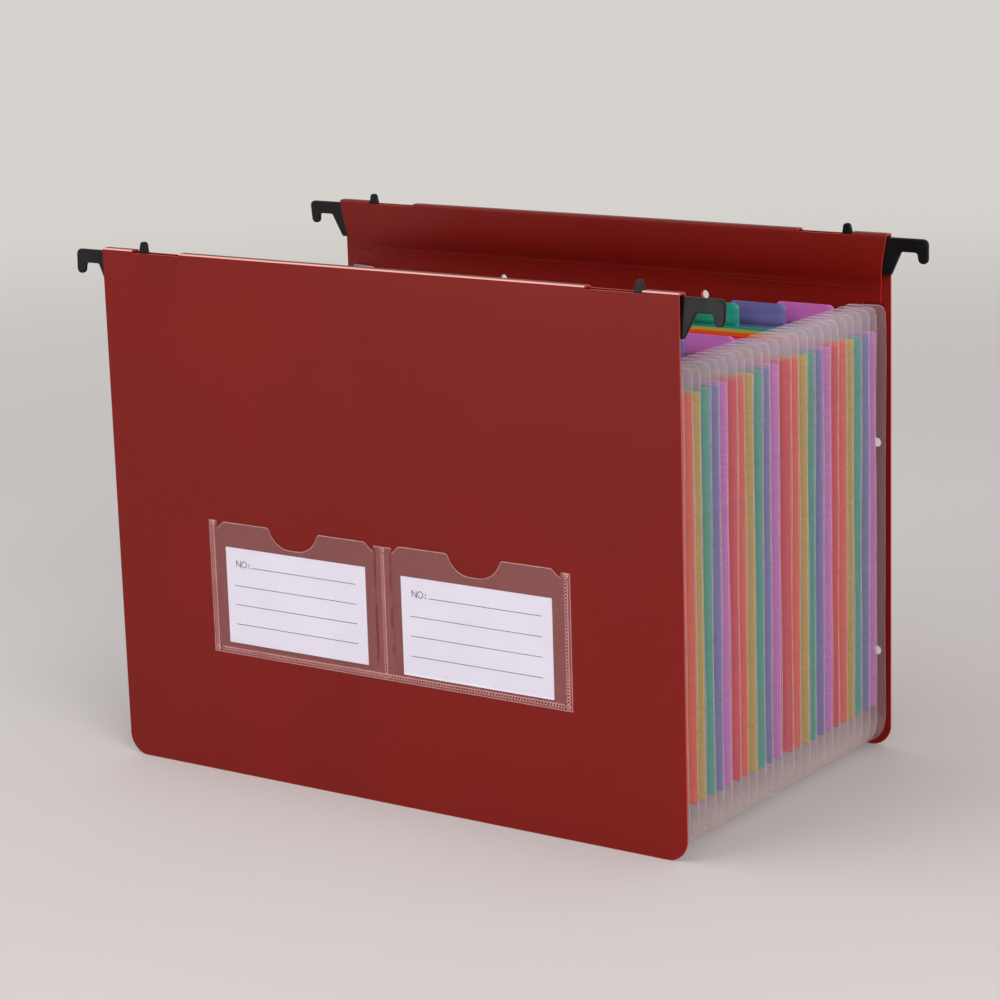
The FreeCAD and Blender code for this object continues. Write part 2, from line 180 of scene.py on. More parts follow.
def plate(outline: np.ndarray, thickness: float, painted_edge_glow: float, steps: int = 3) -> Shape:
    """A flat plate from y 0 to its thickness, with edges rounded all round.

    Ring a of the rounding is the outline moved in by edge * (1 - sin a) at depth edge * (1 - cos a),
    with a from 0 to 90 degrees, and the back repeats it the other way.

    Args:
        outline: the points of its outline in x and z, turning to the left.
        thickness: how thick the plate is.
        painted_edge_glow: radius of the rounded edge, at most half of the thickness.
        steps: rings in each rounding.

    Returns:
        The closed plate. Its two faces stay flat shaded.
    """
    before = unit(outline - np.roll(outline, 1, axis=0))
    after = np.roll(before, -1, axis=0)
    inward = np.stack([-before[:, 1] - after[:, 1], before[:, 0] + after[:, 0]], axis=1)
    inward /= 1 + np.sum(before * after, axis=1, keepdims=True)
    a = np.linspace(0, math.pi / 2, steps + 1)
    insets = np.concatenate([painted_edge_glow * (1 - np.sin(a)), painted_edge_glow * (1 - np.sin(a[::-1]))])
    depths = np.concatenate([painted_edge_glow * (1 - np.cos(a)), thickness - painted_edge_glow * (1 - np.cos(a[::-1]))])
    flat = outline[None] + inward[None] * insets[:, None, None]
    depth = np.broadcast_to(depths[:, None], flat.shape[:2])
    points = np.stack([flat[..., 0], depth, flat[..., 1]], axis=-1)
    rings, count = points.shape[:2]
    number = np.arange(rings * count).reshape(rings, count)
    ahead = np.roll(number, -1, axis=1)
    sides = np.stack([number[:-1], number[1:], ahead[1:], ahead[:-1]], axis=-1).reshape(-1, 4)
    faces = sides.tolist() + [number[0].tolist(), number[-1][::-1].tolist()]
    return Shape(points.reshape(-1, 3), faces, {len(faces) - 2, len(faces) - 1})


def stroke(line: np.ndarray, width: float, closed: bool = False) -> Shape:
    """A flat ribbon of ink that follows a line, facing the front.

    Each point of the line is moved half the width to both sides along the mitre of its two runs.

    Args:
        line: the points that it follows in x and z.
        width: how wide the ribbon is.
        closed: whether its end joins its start.

    Returns:
        The ribbon on y 0.
    """
    runs = unit(np.diff(np.vstack([line, line[:1]]) if closed else line, axis=0))
    before = np.vstack([runs[-1:] if closed else runs[:1], runs[: None if closed else len(runs)]])
    before = before[: len(line)]
    after = runs if closed else np.vstack([runs, runs[-1:]])
    mitre = np.stack([-before[:, 1] - after[:, 1], before[:, 0] + after[:, 0]], axis=1)
    mitre /= 1 + np.sum(before * after, axis=1, keepdims=True)
    sides = np.stack([line - mitre * width / 2, line + mitre * width / 2])
    points = np.stack([sides[..., 0], np.zeros(sides.shape[:2]), sides[..., 1]], axis=-1)
    count = len(line)
    faces = grid_faces(2, count)
    if closed:
        faces.append([count - 1, 0, count, 2 * count - 1])
    return Shape(points.reshape(-1, 3), faces)


def mesh_piece(name: str, shape: Shape, materials: list[bpy.types.Material]) -> bpy.types.Object:
    """Puts a shape into the scene as an object at the origin.

    Args:
        name: the piece's name.
        shape: its points and faces in millimetres.
        materials: its material slots.

    Returns:
        The new object, with near-equal points merged.
    """
    mesh = bpy.data.meshes.new(name)
    mesh.from_pydata((shape.points * MM).tolist(), [], shape.faces)
    smooth = np.ones(len(shape.faces), bool)
    smooth[list(shape.flat)] = False
    mesh.polygons.foreach_set("use_smooth", smooth)
    mesh.polygons.foreach_set("material_index", shape.slots.astype(np.int32))
    made = bmesh.new()
    made.from_mesh(mesh)
    bmesh.ops.remove_doubles(made, verts=made.verts, dist=MERGE_DISTANCE)
    made.to_mesh(mesh)
    made.free()
    for material in materials:
        mesh.materials.append(material)
    piece = bpy.data.objects.new(name, mesh)
    bpy.context.scene.collection.objects.link(piece)
    return piece


def thicken(piece: bpy.types.Object, thickness: float, rim_slot: int = 0) -> None:
    """Gives a surface its wall, half to each side.

    Args:
        piece: the surface.
        thickness: of the wall, in millimetres.
        rim_slot: the material slot of the cut edges.
    """
    wall = piece.modifiers.new("wall", "SOLIDIFY")
    wall.thickness = thickness * MM
    wall.offset = 0.0
    wall.use_even_offset = True
    wall.material_offset_rim = rim_slot


def settle(piece: bpy.types.Object) -> None:
    """Turns the piece's modifiers into its mesh, so that its wall keeps its own points when it bends."""
    bpy.context.view_layer.update()
    ready = piece.evaluated_get(bpy.context.evaluated_depsgraph_get())
    made = bpy.data.meshes.new_from_object(ready)
    piece.modifiers.clear()
    piece.data = made


def soften(
    piece: bpy.types.Object, width: float, segments: int = 2, sharper_than: float = 55.0
) -> None:
    """Rounds the sharp edges of a walled piece.

    Args:
        piece: the piece.
        width: of the rounding, in millimetres.
        segments: pieces in the rounding.
        sharper_than: the least turn at an edge that is rounded, in degrees.
    """
    painted_edge_glow = piece.modifiers.new("edges", "BEVEL")
    painted_edge_glow.width = width * MM
    painted_edge_glow.segments = segments
    painted_edge_glow.limit_method = "ANGLE"
    painted_edge_glow.angle_limit = math.radians(sharper_than)
    painted_edge_glow.harden_normals = True


def place(piece: bpy.types.Object, body: str, slot: str, *nodes: str) -> None:
    """Hands a finished piece to the body that it moves with.

    Args:
        piece: the piece.
        body: the body that carries it.
        slot: the material slot of the record that its finish belongs to; not used.
        nodes: the nodes of the frame that it stands for.
    """
    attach(piece, body)
    if nodes:
        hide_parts(*nodes)
    log.info("%s rides on %s", piece.name, body)


# Finishes


class Bench:
    """A material that is being made: its node tree, with a method for each kind of node that is used."""

    def __init__(self, name: str) -> None:
        """Starts a material of this name with one Principled shader."""
        self.material = bpy.data.materials.new(name)
        self.material.use_nodes = True
        self.nodes = self.material.node_tree.nodes
        self.links = self.material.node_tree.links
        self.shader = self.nodes["Principled BSDF"]
        self.output = self.nodes["Material Output"]
        self.place = self.nodes.new("ShaderNodeTexCoord").outputs["Object"]

    def set(self, **values: float | Colour) -> None:
        """Sets plain values on the shader's own sockets, with _ for a space in their names."""
        for key, value in values.items():
            self.shader.inputs[key.replace("_", " ")].default_value = value

    def stretched(self, scale: tuple[float, float, float]) -> bpy.types.NodeSocket:
        """The place on the object with each axis scaled, for a pattern that is longer one way."""
        mapping = self.nodes.new("ShaderNodeMapping")
        mapping.inputs["Scale"].default_value = scale
        self.links.new(self.place, mapping.inputs["Vector"])
        return mapping.outputs["Vector"]

    def noise(
        self,
        scale: float,
        detail: float = 2.0,
        roughness: float = 0.5,
        place: bpy.types.NodeSocket | None = None,
    ) -> bpy.types.NodeSocket:
        """A cloudy pattern from 0 to 1.

        Args:
            scale: features to the metre.
            detail: how many finer layers it has.
            roughness: how strong those are.
            place: where to read it, or the object's own coordinates.

        Returns:
            The pattern's value.
        """
        node = self.nodes.new("ShaderNodeTexNoise")
        node.inputs["Scale"].default_value = scale
        node.inputs["Detail"].default_value = detail
        node.inputs["Roughness"].default_value = roughness
        self.links.new(place or self.place, node.inputs["Vector"])
        return node.outputs["Fac"]

    def between(
        self, value: bpy.types.NodeSocket, low: float, high: float
    ) -> bpy.types.NodeSocket:
        """The body of a noise pattern, where most of its values lie, spread between two numbers."""
        node = self.nodes.new("ShaderNodeMapRange")
        node.inputs["From Min"].default_value = BODY_OF_NOISE[0]
        node.inputs["From Max"].default_value = BODY_OF_NOISE[1]
        node.inputs["To Min"].default_value = low
        node.inputs["To Max"].default_value = high
        self.links.new(value, node.inputs["Value"])
        return node.outputs["Result"]

    def mixed(
        self, value: bpy.types.NodeSocket, low: Colour, high: Colour, spread: float = 0.2
    ) -> bpy.types.NodeSocket:
        """Two colours mixed by a pattern.

        Args:
            value: the pattern.
            low, high: the colours at its low and high values.
            spread: how far from the middle the pattern is fully one of them.

        Returns:
            The mixed colour.
        """
        node = self.nodes.new("ShaderNodeValToRGB")
        node.color_ramp.elements[0].position = 0.5 - spread
        node.color_ramp.elements[1].position = 0.5 + spread
        node.color_ramp.elements[0].color = low
        node.color_ramp.elements[1].color = high
        self.links.new(value, node.inputs["Fac"])
        return node.outputs["Color"]

    def bump(self, *layers: tuple[bpy.types.NodeSocket, float, float]) -> None:
        """Relief from patterns, one on another.

        Args:
            layers: each a pattern, its strength and its depth in millimetres.
        """
        normal = None
        for value, strength, depth in layers:
            node = self.nodes.new("ShaderNodeBump")
            node.inputs["Strength"].default_value = strength
            node.inputs["Distance"].default_value = depth * MM
            self.links.new(value, node.inputs["Height"])
            if normal is not None:
                self.links.new(normal, node.inputs["Normal"])
            normal = node.outputs["Normal"]
        self.links.new(normal, self.shader.inputs["Normal"])

    def feed(self, **sockets: bpy.types.NodeSocket) -> None:
        """Links patterns to the shader's sockets, with _ for a space in their names."""
        for key, socket in sockets.items():
            self.links.new(socket, self.shader.inputs[key.replace("_", " ")])


def tinted(colour: Colour, factor: float) -> Colour:
    """The colour made lighter or darker by a factor."""
    return (*(min(1.0, c * factor) for c in colour[:3]), 1.0)


@dataclass(frozen=True)
class SheetPlastic:
    """Satin polypropylene sheet of the covers: a fine leathery grain with slightly uneven colour."""

    name: str = "cover_polypropylene"
    colour: Colour = srgb(118, 17, 9)
    shades: tuple[float, float] = (0.93, 1.06)
    cloud: float = 9.0
    sag: float = 7.0
    sag_depth: float = 1.2
    grain: float = 2600.0
    grain_depth: float = 0.03
    relief: float = 0.25
    roughness: float = 0.4
    polish: tuple[float, float] = (-0.05, 0.06)
    gloss: float = 0.18

    def material(self) -> bpy.types.Material:
        """Builds the material."""
        bench = Bench(self.name)
        cloud = bench.noise(self.cloud, detail=3.0)
        grain = bench.noise(self.grain, detail=2.0, roughness=0.6)
        sag = bench.noise(self.sag, detail=0.0)
        dark, light = (tinted(self.colour, shade) for shade in self.shades)
        smooth, rough = (self.roughness + change for change in self.polish)
        bench.set(Specular_IOR_Level=self.gloss)
        bench.feed(
            Base_Color=bench.mixed(cloud, dark, light),
            Roughness=bench.between(grain, smooth, rough),
        )
        bench.bump((sag, self.relief, self.sag_depth), (grain, self.relief, self.grain_depth))
        return bench.material


@dataclass(frozen=True)
class FrostedFilm:
    """Thin see-through film with faint streaks along its draw. opacity is that of one of its two faces."""

    name: str = "bellows_film"
    colour: Colour = srgb(206, 190, 199)
    opacity: float = 0.11
    roughness: float = 0.32
    streak: tuple[float, float, float] = (900.0, 900.0, 6.0)
    shades: tuple[float, float] = (0.86, 1.1)
    cloud: float = 30.0
    polish: float = 0.08
    streak_depth: float = 0.05
    relief: float = 0.15
    gloss: float = 0.5

    def material(self) -> bpy.types.Material:
        """Builds the material."""
        bench = Bench(self.name)
        streaks = bench.noise(1.0, detail=3.0, roughness=0.6, place=bench.stretched(self.streak))
        cloud = bench.noise(self.cloud, detail=2.0)
        dark, light = (tinted(self.colour, shade) for shade in self.shades)
        bench.set(Alpha=self.opacity, Specular_IOR_Level=self.gloss)
        bench.feed(
            Base_Color=bench.mixed(streaks, dark, light),
            Roughness=bench.between(cloud, self.roughness - self.polish, self.roughness + self.polish),
        )
        bench.bump((streaks, self.relief, self.streak_depth))
        return bench.material


@dataclass(frozen=True)
class CutEdge:
    """Painted light on a cut or creased edge of a clear sheet: a pale colour that stands in for the
    light that runs inside the sheet and comes out there, and for the highlight on the edge. It also
    paints the pale rims of weld marks.
    """

    name: str
    colour: Colour
    opacity: float = 0.75
    glow_patches: float = 140.0
    shades: tuple[float, float] = (0.8, 1.05)
    roughness: tuple[float, float] = (0.25, 0.42)
    gloss: float = 0.6

    def material(self) -> bpy.types.Material:
        """Builds the material."""
        bench = Bench(self.name)
        # Uneven patches in the painted edge light.
        glow_patches = bench.noise(self.glow_patches, detail=3.0)
        dark, light = (tinted(self.colour, shade) for shade in self.shades)
        bench.set(Alpha=self.opacity, Specular_IOR_Level=self.gloss)
        bench.feed(
            Base_Color=bench.mixed(glow_patches, dark, light),
            Roughness=bench.between(glow_patches, *self.roughness),
        )
        return bench.material


@dataclass(frozen=True)
class TintedSheet:
    """Translucent coloured sheet of a divider, with calender lines across it."""

    name: str
    colour: Colour
    opacity: float = 0.7
    lines: tuple[float, float, float] = (8.0, 8.0, 900.0)
    line_depth: float = 0.05
    grain: float = 2200.0
    grain_depth: float = 0.02
    relief: float = 0.1
    shades: tuple[float, float] = (0.85, 1.12)
    roughness: tuple[float, float] = (0.3, 0.42)
    gloss: float = 0.5

    def material(self) -> bpy.types.Material:
        """Builds the material."""
        bench = Bench(self.name)
        lines = bench.noise(1.0, detail=3.0, roughness=0.65, place=bench.stretched(self.lines))
        grain = bench.noise(self.grain, detail=1.0)
        dark, light = (tinted(self.colour, shade) for shade in self.shades)
        bench.set(Alpha=self.opacity, Specular_IOR_Level=self.gloss)
        bench.feed(
            Base_Color=bench.mixed(lines, dark, light),
            Roughness=bench.between(grain, *self.roughness),
        )
        bench.bump((lines, self.relief, self.line_depth), (grain, self.relief, self.grain_depth))
        return bench.material


@dataclass(frozen=True)
class MouldedPlastic:
    """Black moulded plastic of the hooks, with a fine spark-eroded grain and rubbed patches."""

    name: str = "hook_plastic"
    colour: Colour = srgb(12, 12, 14)
    rubbed: float = 1.7
    rub: float = 60.0
    grain: float = 3000.0
    grain_depth: float = 0.03
    relief: float = 0.2
    gloss: float = 0.2
    roughness: float = 0.33
    polish: tuple[float, float] = (-0.07, 0.08)

    def material(self) -> bpy.types.Material:
        """Builds the material."""
        bench = Bench(self.name)
        rub = bench.noise(self.rub, detail=4.0, roughness=0.6)
        grain = bench.noise(self.grain, detail=2.0)
        smooth, rough = (self.roughness + change for change in self.polish)
        bench.set(Specular_IOR_Level=self.gloss)
        bench.feed(
            Base_Color=bench.mixed(rub, self.colour, tinted(self.colour, self.rubbed)),
            Roughness=bench.between(rub, smooth, rough),
        )
        bench.bump((grain, self.relief, self.grain_depth))
        return bench.material


@dataclass(frozen=True)
class CardPaper:
    """Smooth white card with a little fibre in it."""

    name: str = "card_stock"
    colour: Colour = srgb(232, 229, 243)
    shades: tuple[float, float] = (0.97, 1.02)
    cloud: float = 60.0
    fibre: tuple[float, float, float] = (1400.0, 1400.0, 700.0)
    fibre_depth: float = 0.02
    relief: float = 0.2
    roughness: tuple[float, float] = (0.62, 0.78)
    gloss: float = 0.25

    def material(self) -> bpy.types.Material:
        """Builds the material."""
        bench = Bench(self.name)
        fibre = bench.noise(1.0, detail=4.0, roughness=0.7, place=bench.stretched(self.fibre))
        cloud = bench.noise(self.cloud, detail=2.0)
        dark, light = (tinted(self.colour, shade) for shade in self.shades)
        bench.set(Specular_IOR_Level=self.gloss)
        bench.feed(
            Base_Color=bench.mixed(cloud, dark, light),
            Roughness=bench.between(fibre, *self.roughness),
        )
        bench.bump((fibre, self.relief, self.fibre_depth))
        return bench.material


@dataclass(frozen=True)
class PrintInk:
    """Grey print on the cards, a little broken by the paper."""

    name: str = "print_ink"
    colour: Colour = srgb(58, 58, 66)
    breaks: float = 1500.0
    shades: tuple[float, float] = (0.85, 1.4)
    roughness: float = 0.5
    gloss: float = 0.3

    def material(self) -> bpy.types.Material:
        """Builds the material."""
        bench = Bench(self.name)
        breaks = bench.noise(self.breaks, detail=2.0)
        dark, light = (tinted(self.colour, shade) for shade in self.shades)
        bench.set(Specular_IOR_Level=self.gloss, Roughness=self.roughness)
        bench.feed(Base_Color=bench.mixed(breaks, dark, light))
        return bench.material


class DividerColour(Enum):
    """The six colours of the dividers, in their order from the front. Each is its slot and its colour."""

    RED = ("divider_red", srgb(222, 26, 42))
    ORANGE = ("divider_orange", srgb(238, 84, 16))
    YELLOW = ("divider_yellow", srgb(204, 170, 50))
    GREEN = ("divider_green", srgb(24, 168, 142))
    BLUE = ("divider_blue", srgb(112, 114, 178))
    PURPLE = ("divider_purple", srgb(212, 116, 202))

    @property
    def slot(self) -> str:
        """The record's material slot of this colour."""
        return self.value[0]

    @property
    def colour(self) -> Colour:
        """The sheet's own colour."""
        return self.value[1]


class Side(Enum):
    """Which cover a piece belongs to."""

    FRONT = "front"
    BACK = "back"


# Sizes shared by the sub-assemblies, in millimetres


@dataclass(frozen=True)
class FileSizes:
    """Overall sizes of the file and the planes of its covers, read from the frame."""

    half_width: float = 154.5
    height: float = 242.0
    sheet: float = 0.9
    hem_depth: float = 5.5
    crease: float = 0.75

    @property
    def front_face(self) -> float:
        """The outer face of the front cover."""
        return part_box("front_cover")[0].y / MM

    @property
    def back_face(self) -> float:
        """The outer face of the back cover."""
        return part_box("back_cover")[1].y / MM

    def at(self, side: Side, points: np.ndarray) -> np.ndarray:
        """Points of a cover lying with its outer face on y 0 and its hem towards +y, put in place.

        Args:
            side: the cover. The back one is the front one turned half round.
            points: n by 3.

        Returns:
            The points in the frame.
        """
        if side is Side.FRONT:
            return points + np.array([0.0, self.front_face, 0.0])
        return points * np.array([-1.0, -1.0, 1.0]) + np.array([0.0, self.back_face, 0.0])


SIZES = FileSizes()


@dataclass
class CoverSheet:
    """One red cover: a sheet folded over at the top into a hem, with two slots and a weld row."""

    side: Side
    corner: float = 10.0
    corner_steps: int = 10
    flap_foot: float = 196.0
    flap_step: float = 210.0
    flap_inset: float = 4.5
    still: float = 141.0
    weld: float = 217.5
    weld_height: float = 2.4
    flap_gap: float = 0.15
    swell: float = 3.4
    swell_line: float = 1.6
    weld_margin: float = 8.0
    slot: tuple[float, float] = (109.0, 137.0)
    hole_radius: float = 2.1
    hole_square: float = 2.45
    hole_sides: int = 8
    hole_side: float = 147.5
    hole_middle: float = 57.5
    hole_heights_low: tuple[float, float] = (46.0, 145.0)
    hole_height_top: float = 207.5
    line: float = 12.0
    bend_steps: int = 8
    hem_steps: int = 3
    painted_highlight_start: float = 0.42
    painted_edge_glow: float = 0.2
    dot_radii: tuple[float, ...] = (0.0, 0.3, 0.56, 0.72, 0.9)
    dot_heights: tuple[float, ...] = (0.03, 0.03, 0.05, 0.09, -0.02)
    dot_shape: tuple[float, float] = (1.3, 0.85)
    dot_pitch: float = 2.95
    dot_sides: int = 12
    dot_runs: tuple[tuple[float, float, float], ...] = (
        (-148.0, -139.0, 0.0),
        (-129.0, 104.0, 0.0),
        (72.0, 147.0, -1.7),
    )

    @property
    def bend_foot(self) -> float:
        """The height where the bends of the hem start, which the slots are cut down to."""
        return SIZES.height - SIZES.sheet / 2 - SIZES.crease

    @property
    def flap_rest(self) -> float:
        """How deep the flap's middle plane lies where it rests on the sheet."""
        return 1.5 * SIZES.sheet + self.flap_gap

    def fold_line(self) -> tuple[np.ndarray, np.ndarray, np.ndarray]:
        """The middle line of the folded sheet, as y, z and which part of the sheet each point is in.

        It runs up the sheet, round two quarter bends of the crease radius with the hem's top between
        them, down the flap to the weld line and on to the flap's foot. An arc point is centre + radius
        * (cos a, sin a). Down the flap y is rest + (flap - rest) * (1 - (1 - t)^swell), where t goes
        from 0 at the weld to 1 at the crease.

        Returns:
            y, z, and a part number of 0 for the sheet, 1 for the hem's top and 2 for the flap.
        """
        half = SIZES.sheet / 2
        bend = self.bend_foot
        inner = half + SIZES.crease
        outer = SIZES.hem_depth - half - SIZES.crease
        flap = SIZES.hem_depth - half
        rest = self.flap_rest
        swell_end = self.weld + self.weld_height / 2

        corner = self.corner * (1 - np.cos(np.linspace(0, math.pi / 2, self.corner_steps + 1)))
        marks = [self.corner]
        for z in self.hole_heights(False):
            marks += self.hole_lines(z)
        sheet = np.concatenate([corner[:-1], spaced(marks + [bend], self.line)])
        quarter = np.linspace(0, math.pi / 2, self.bend_steps + 1)[1:]
        first = inner - SIZES.crease * np.cos(quarter), bend + SIZES.crease * np.sin(quarter)
        top = np.linspace(inner, outer, self.hem_steps + 1)[1:]
        second = outer + SIZES.crease * np.sin(quarter), bend + SIZES.crease * np.cos(quarter)
        marks = [-bend, -swell_end - self.weld_margin, -swell_end]
        down = -spaced(marks, self.swell_line)[1:]
        lean = 1 - (1 - (down - swell_end) / (bend - swell_end)) ** self.swell
        foot = -spaced(sorted(-mark for mark in self.flap_marks(swell_end)), self.line)
        runs = [
            (np.full(len(sheet), half), sheet, 0),
            (*first, 1),
            (top, np.full(len(top), SIZES.height - half), 1),
            (*second, 1),
            (rest + (flap - rest) * lean, down, 2),
            (np.full(len(foot) - 1, rest), foot[1:], 2),
        ]
        y = np.concatenate([r[0] for r in runs])
        z = np.concatenate([r[1] for r in runs])
        part = np.concatenate([np.full(len(r[0]), r[2]) for r in runs])
        return y, z, part

    def flap_marks(self, top: float) -> list[float]:
        """Heights that rows of the flap's foot pass through, from the end of its swell down."""
        marks = [top, self.flap_step]
        for z in self.hole_heights(True):
            marks += self.hole_lines(z)
        return marks + [self.flap_foot]

    def hole_lines(self, centre: float) -> list[float]:
        """The grid lines through a square round a hole."""
        span = np.linspace(-self.hole_square, self.hole_square, self.hole_sides + 1)
        return (centre + span).tolist()

    def hole_heights(self, flap: bool) -> list[float]:
        """Heights of the rows of holes in the sheet, or in the flap."""
        if self.side is Side.FRONT:
            return []
        return [self.hole_height_top] if flap else [*self.hole_heights_low, self.hole_height_top]

    def holes(self) -> list[tuple[float, float, int]]:
        """Each punched hole as x, z and the part of the sheet that it is in."""
        if self.side is Side.FRONT:
            return []
        found = []
        for side in (-1.0, 1.0):
            found += [(side * self.hole_side, z, 0) for z in self.hole_heights_low]
            found += [(side * self.hole_middle, self.hole_height_top, part) for part in (0, 2)]
        return found

    def half_width(self, z: np.ndarray, part: np.ndarray) -> np.ndarray:
        """Half the sheet's width at each row: full, less the rounded corners at the foot and the
        flap's slant, where it narrows evenly from the crease to the weld row. At a corner of radius r
        it is full - r + sqrt(r^2 - d^2), where d is how far the row lies below the corner's middle."""
        full = SIZES.half_width
        drop = np.clip(self.corner - z, 0, self.corner)
        rounded = full - self.corner + np.sqrt(self.corner**2 - drop**2)
        top = SIZES.height - SIZES.sheet - SIZES.crease
        slant = full - self.flap_inset * np.clip((top - z) / (top - self.weld), 0, 1)
        return np.where(part == 2, slant, np.where(part == 0, rounded, full))

    def surface(self) -> Shape:
        """The folded sheet's middle surface.

        Point (row, column) is (x, y, z) with y and z from the fold line and x from the column. The
        columns outside the still zone close up in proportion, so that they end on the row's half
        width. Cells of the slots, of the squares round the holes and beside the flap's foot are left
        out, and each square gets rings that go over from the square to the circle.

        Returns:
            The surface with its outer face on y 0, before its wall.
        """
        y, z, part = self.fold_line()
        full = SIZES.half_width
        marks = [self.still, *self.slot]
        if self.side is Side.BACK:
            marks += self.hole_lines(self.hole_middle) + self.hole_lines(self.hole_side)
        right = spaced(sorted({0.0, full, *marks}), self.line)
        flat = np.concatenate([-right[:0:-1], right])
        width = self.half_width(z, part)[:, None]
        scale = (width - self.still) / (full - self.still)
        beyond = self.still + (np.abs(flat)[None] - self.still) * scale
        x = np.where(np.abs(flat)[None] > self.still, np.sign(flat)[None] * beyond, flat[None])
        points = np.stack(np.broadcast_arrays(x, y[:, None], z[:, None]), axis=-1)

        mid_x = np.abs(flat[1:] + flat[:-1])[None] / 2
        mid_z = ((z[1:] + z[:-1]) / 2)[:, None]
        cell_part = np.maximum(part[1:], part[:-1])[:, None]
        in_slot = (mid_x > self.slot[0]) & (mid_x < self.slot[1]) & (mid_z > self.bend_foot)
        beside = (cell_part == 2) & (mid_z < self.flap_step) & (mid_x > self.still)
        keep = ~(in_slot | beside)
        low_part = np.minimum(part[1:], part[:-1])[:, None]
        column = (flat[1:] + flat[:-1])[None] / 2
        for hole_x, hole_z, hole_part in self.holes():
            near = np.abs(column - hole_x) < self.hole_square
            level = np.abs(mid_z - hole_z) < self.hole_square
            keep &= ~(near & level & (low_part == hole_part))
        mid_y = ((y[1:] + y[:-1]) / 2)[:, None]
        # Slot 1 is a painted highlight: the upper cells of the bend next to the sheet are painted pale, as
        # the highlight that the crease catches.
        crease = (cell_part == 1) & (mid_z > self.bend_foot + self.painted_highlight_start)
        crease &= mid_y < SIZES.sheet / 2 + SIZES.crease
        slots = np.broadcast_to(crease, keep.shape)[keep].astype(np.int32)
        made = Shape(points.reshape(-1, 3), grid_faces(*x.shape, keep), slots=slots)
        for hole in self.holes():
            made = made.joined(self.hole_rings(*hole))
        return made

    def hole_rings(self, x: float, z: float, part: int) -> Shape:
        """Rings from the square round a hole to its circle.

        Ring t is (1 - t) * square + t * circle, point by point at equal angles from the middle.

        Args:
            x, z: the hole's middle.
            part: 0 for the sheet and 2 for the flap, which looks the other way.

        Returns:
            The rings as one shape.
        """
        line = np.linspace(-1, 1, self.hole_sides + 1)[:-1]
        one = np.ones_like(line)
        sides = [(line, -one), (one, line), (-line, one), (-one, -line)]
        square = np.concatenate([np.stack(s, axis=1) for s in sides])
        circle = unit(square) * self.hole_radius
        share = np.array([0.0, 0.5, 1.0])[:, None, None]
        rings = (1 - share) * square * self.hole_square + share * circle
        y = SIZES.sheet / 2 if part == 0 else self.flap_rest
        points = np.stack([rings[..., 0] + x, np.full(rings.shape[:2], y), rings[..., 1] + z], -1)
        number = np.arange(points[..., 0].size).reshape(points.shape[:2])
        ahead = np.roll(number, -1, axis=1)
        quads = np.stack([number[:-1], ahead[:-1], ahead[1:], number[1:]], -1).reshape(-1, 4)
        if part == 2:
            quads = quads[:, ::-1]
        return Shape(points.reshape(-1, 3), quads.tolist())

    def weld_dots(self) -> Shape:
        """The rows of pressed weld dots on the flap.

        A dot is oval rings, each at its own height over the flap: a flat pit, a rim and an outer ring
        that sinks into the flap. The last two runs of dots overlap, the last one a little lower.

        Returns:
            All the dots of this cover. The pits have slot 1.
        """
        radii, heights = np.array(self.dot_radii), np.array(self.dot_heights)
        angles = np.linspace(0, 2 * math.pi, self.dot_sides + 1)[:-1]
        mirror = -1.0 if self.side is Side.BACK else 1.0
        rows = []
        for start, end, drop in self.dot_runs:
            along = np.arange(start, end, self.dot_pitch) * mirror
            rows.append(np.stack([along, np.full(len(along), drop)], axis=1))
        centres = np.concatenate(rows)
        wide, high = self.dot_shape
        ring_x = radii[:, None] * np.cos(angles) * wide
        ring_z = radii[:, None] * np.sin(angles) * high
        face = 2 * SIZES.sheet + self.flap_gap
        points = np.stack(
            [
                centres[:, 0, None, None] + ring_x,
                np.broadcast_to(face + heights[:, None], (len(centres), *ring_x.shape)),
                self.weld + centres[:, 1, None, None] + ring_z,
            ],
            axis=-1,
        )
        rings, count = ring_x.shape
        number = np.arange(rings * count).reshape(rings, count)
        ahead = np.roll(number, -1, axis=1)
        quads = np.stack([number[:-1], ahead[:-1], ahead[1:], number[1:]], -1).reshape(-1, 4)
        every = quads[None] + (np.arange(len(centres)) * rings * count)[:, None, None]
        slots = np.tile(np.repeat(np.array([1, 1, 0, 0]), count), len(centres))
        return Shape(points.reshape(-1, 3), every.reshape(-1, 4).tolist(), slots=slots)

    def build(self, red: list[bpy.types.Material], pit: bpy.types.Material) -> None:
        """Makes the cover in the sheet's own red, with a painted highlight along a crease and a painted
        glow on its cut edges, and its weld dots.
        """
        name = f"{self.side.value}_cover"
        shape = self.surface()
        shape.points = SIZES.at(self.side, shape.points)
        cover = mesh_piece(f"{name}_sheet", shape, red)
        # Slot 2 on the cut rims is a painted glow: a lighter red for light coming out of the sheet's
        # edges.
        thicken(cover, SIZES.sheet, rim_slot=2)
        soften(cover, self.painted_edge_glow)
        place(cover, name, "cover_red", name)
        dots = self.weld_dots()
        dots.points = SIZES.at(self.side, dots.points)
        place(mesh_piece(f"{name}_weld_dots", dots, [red[0], pit]), name, "cover_red")


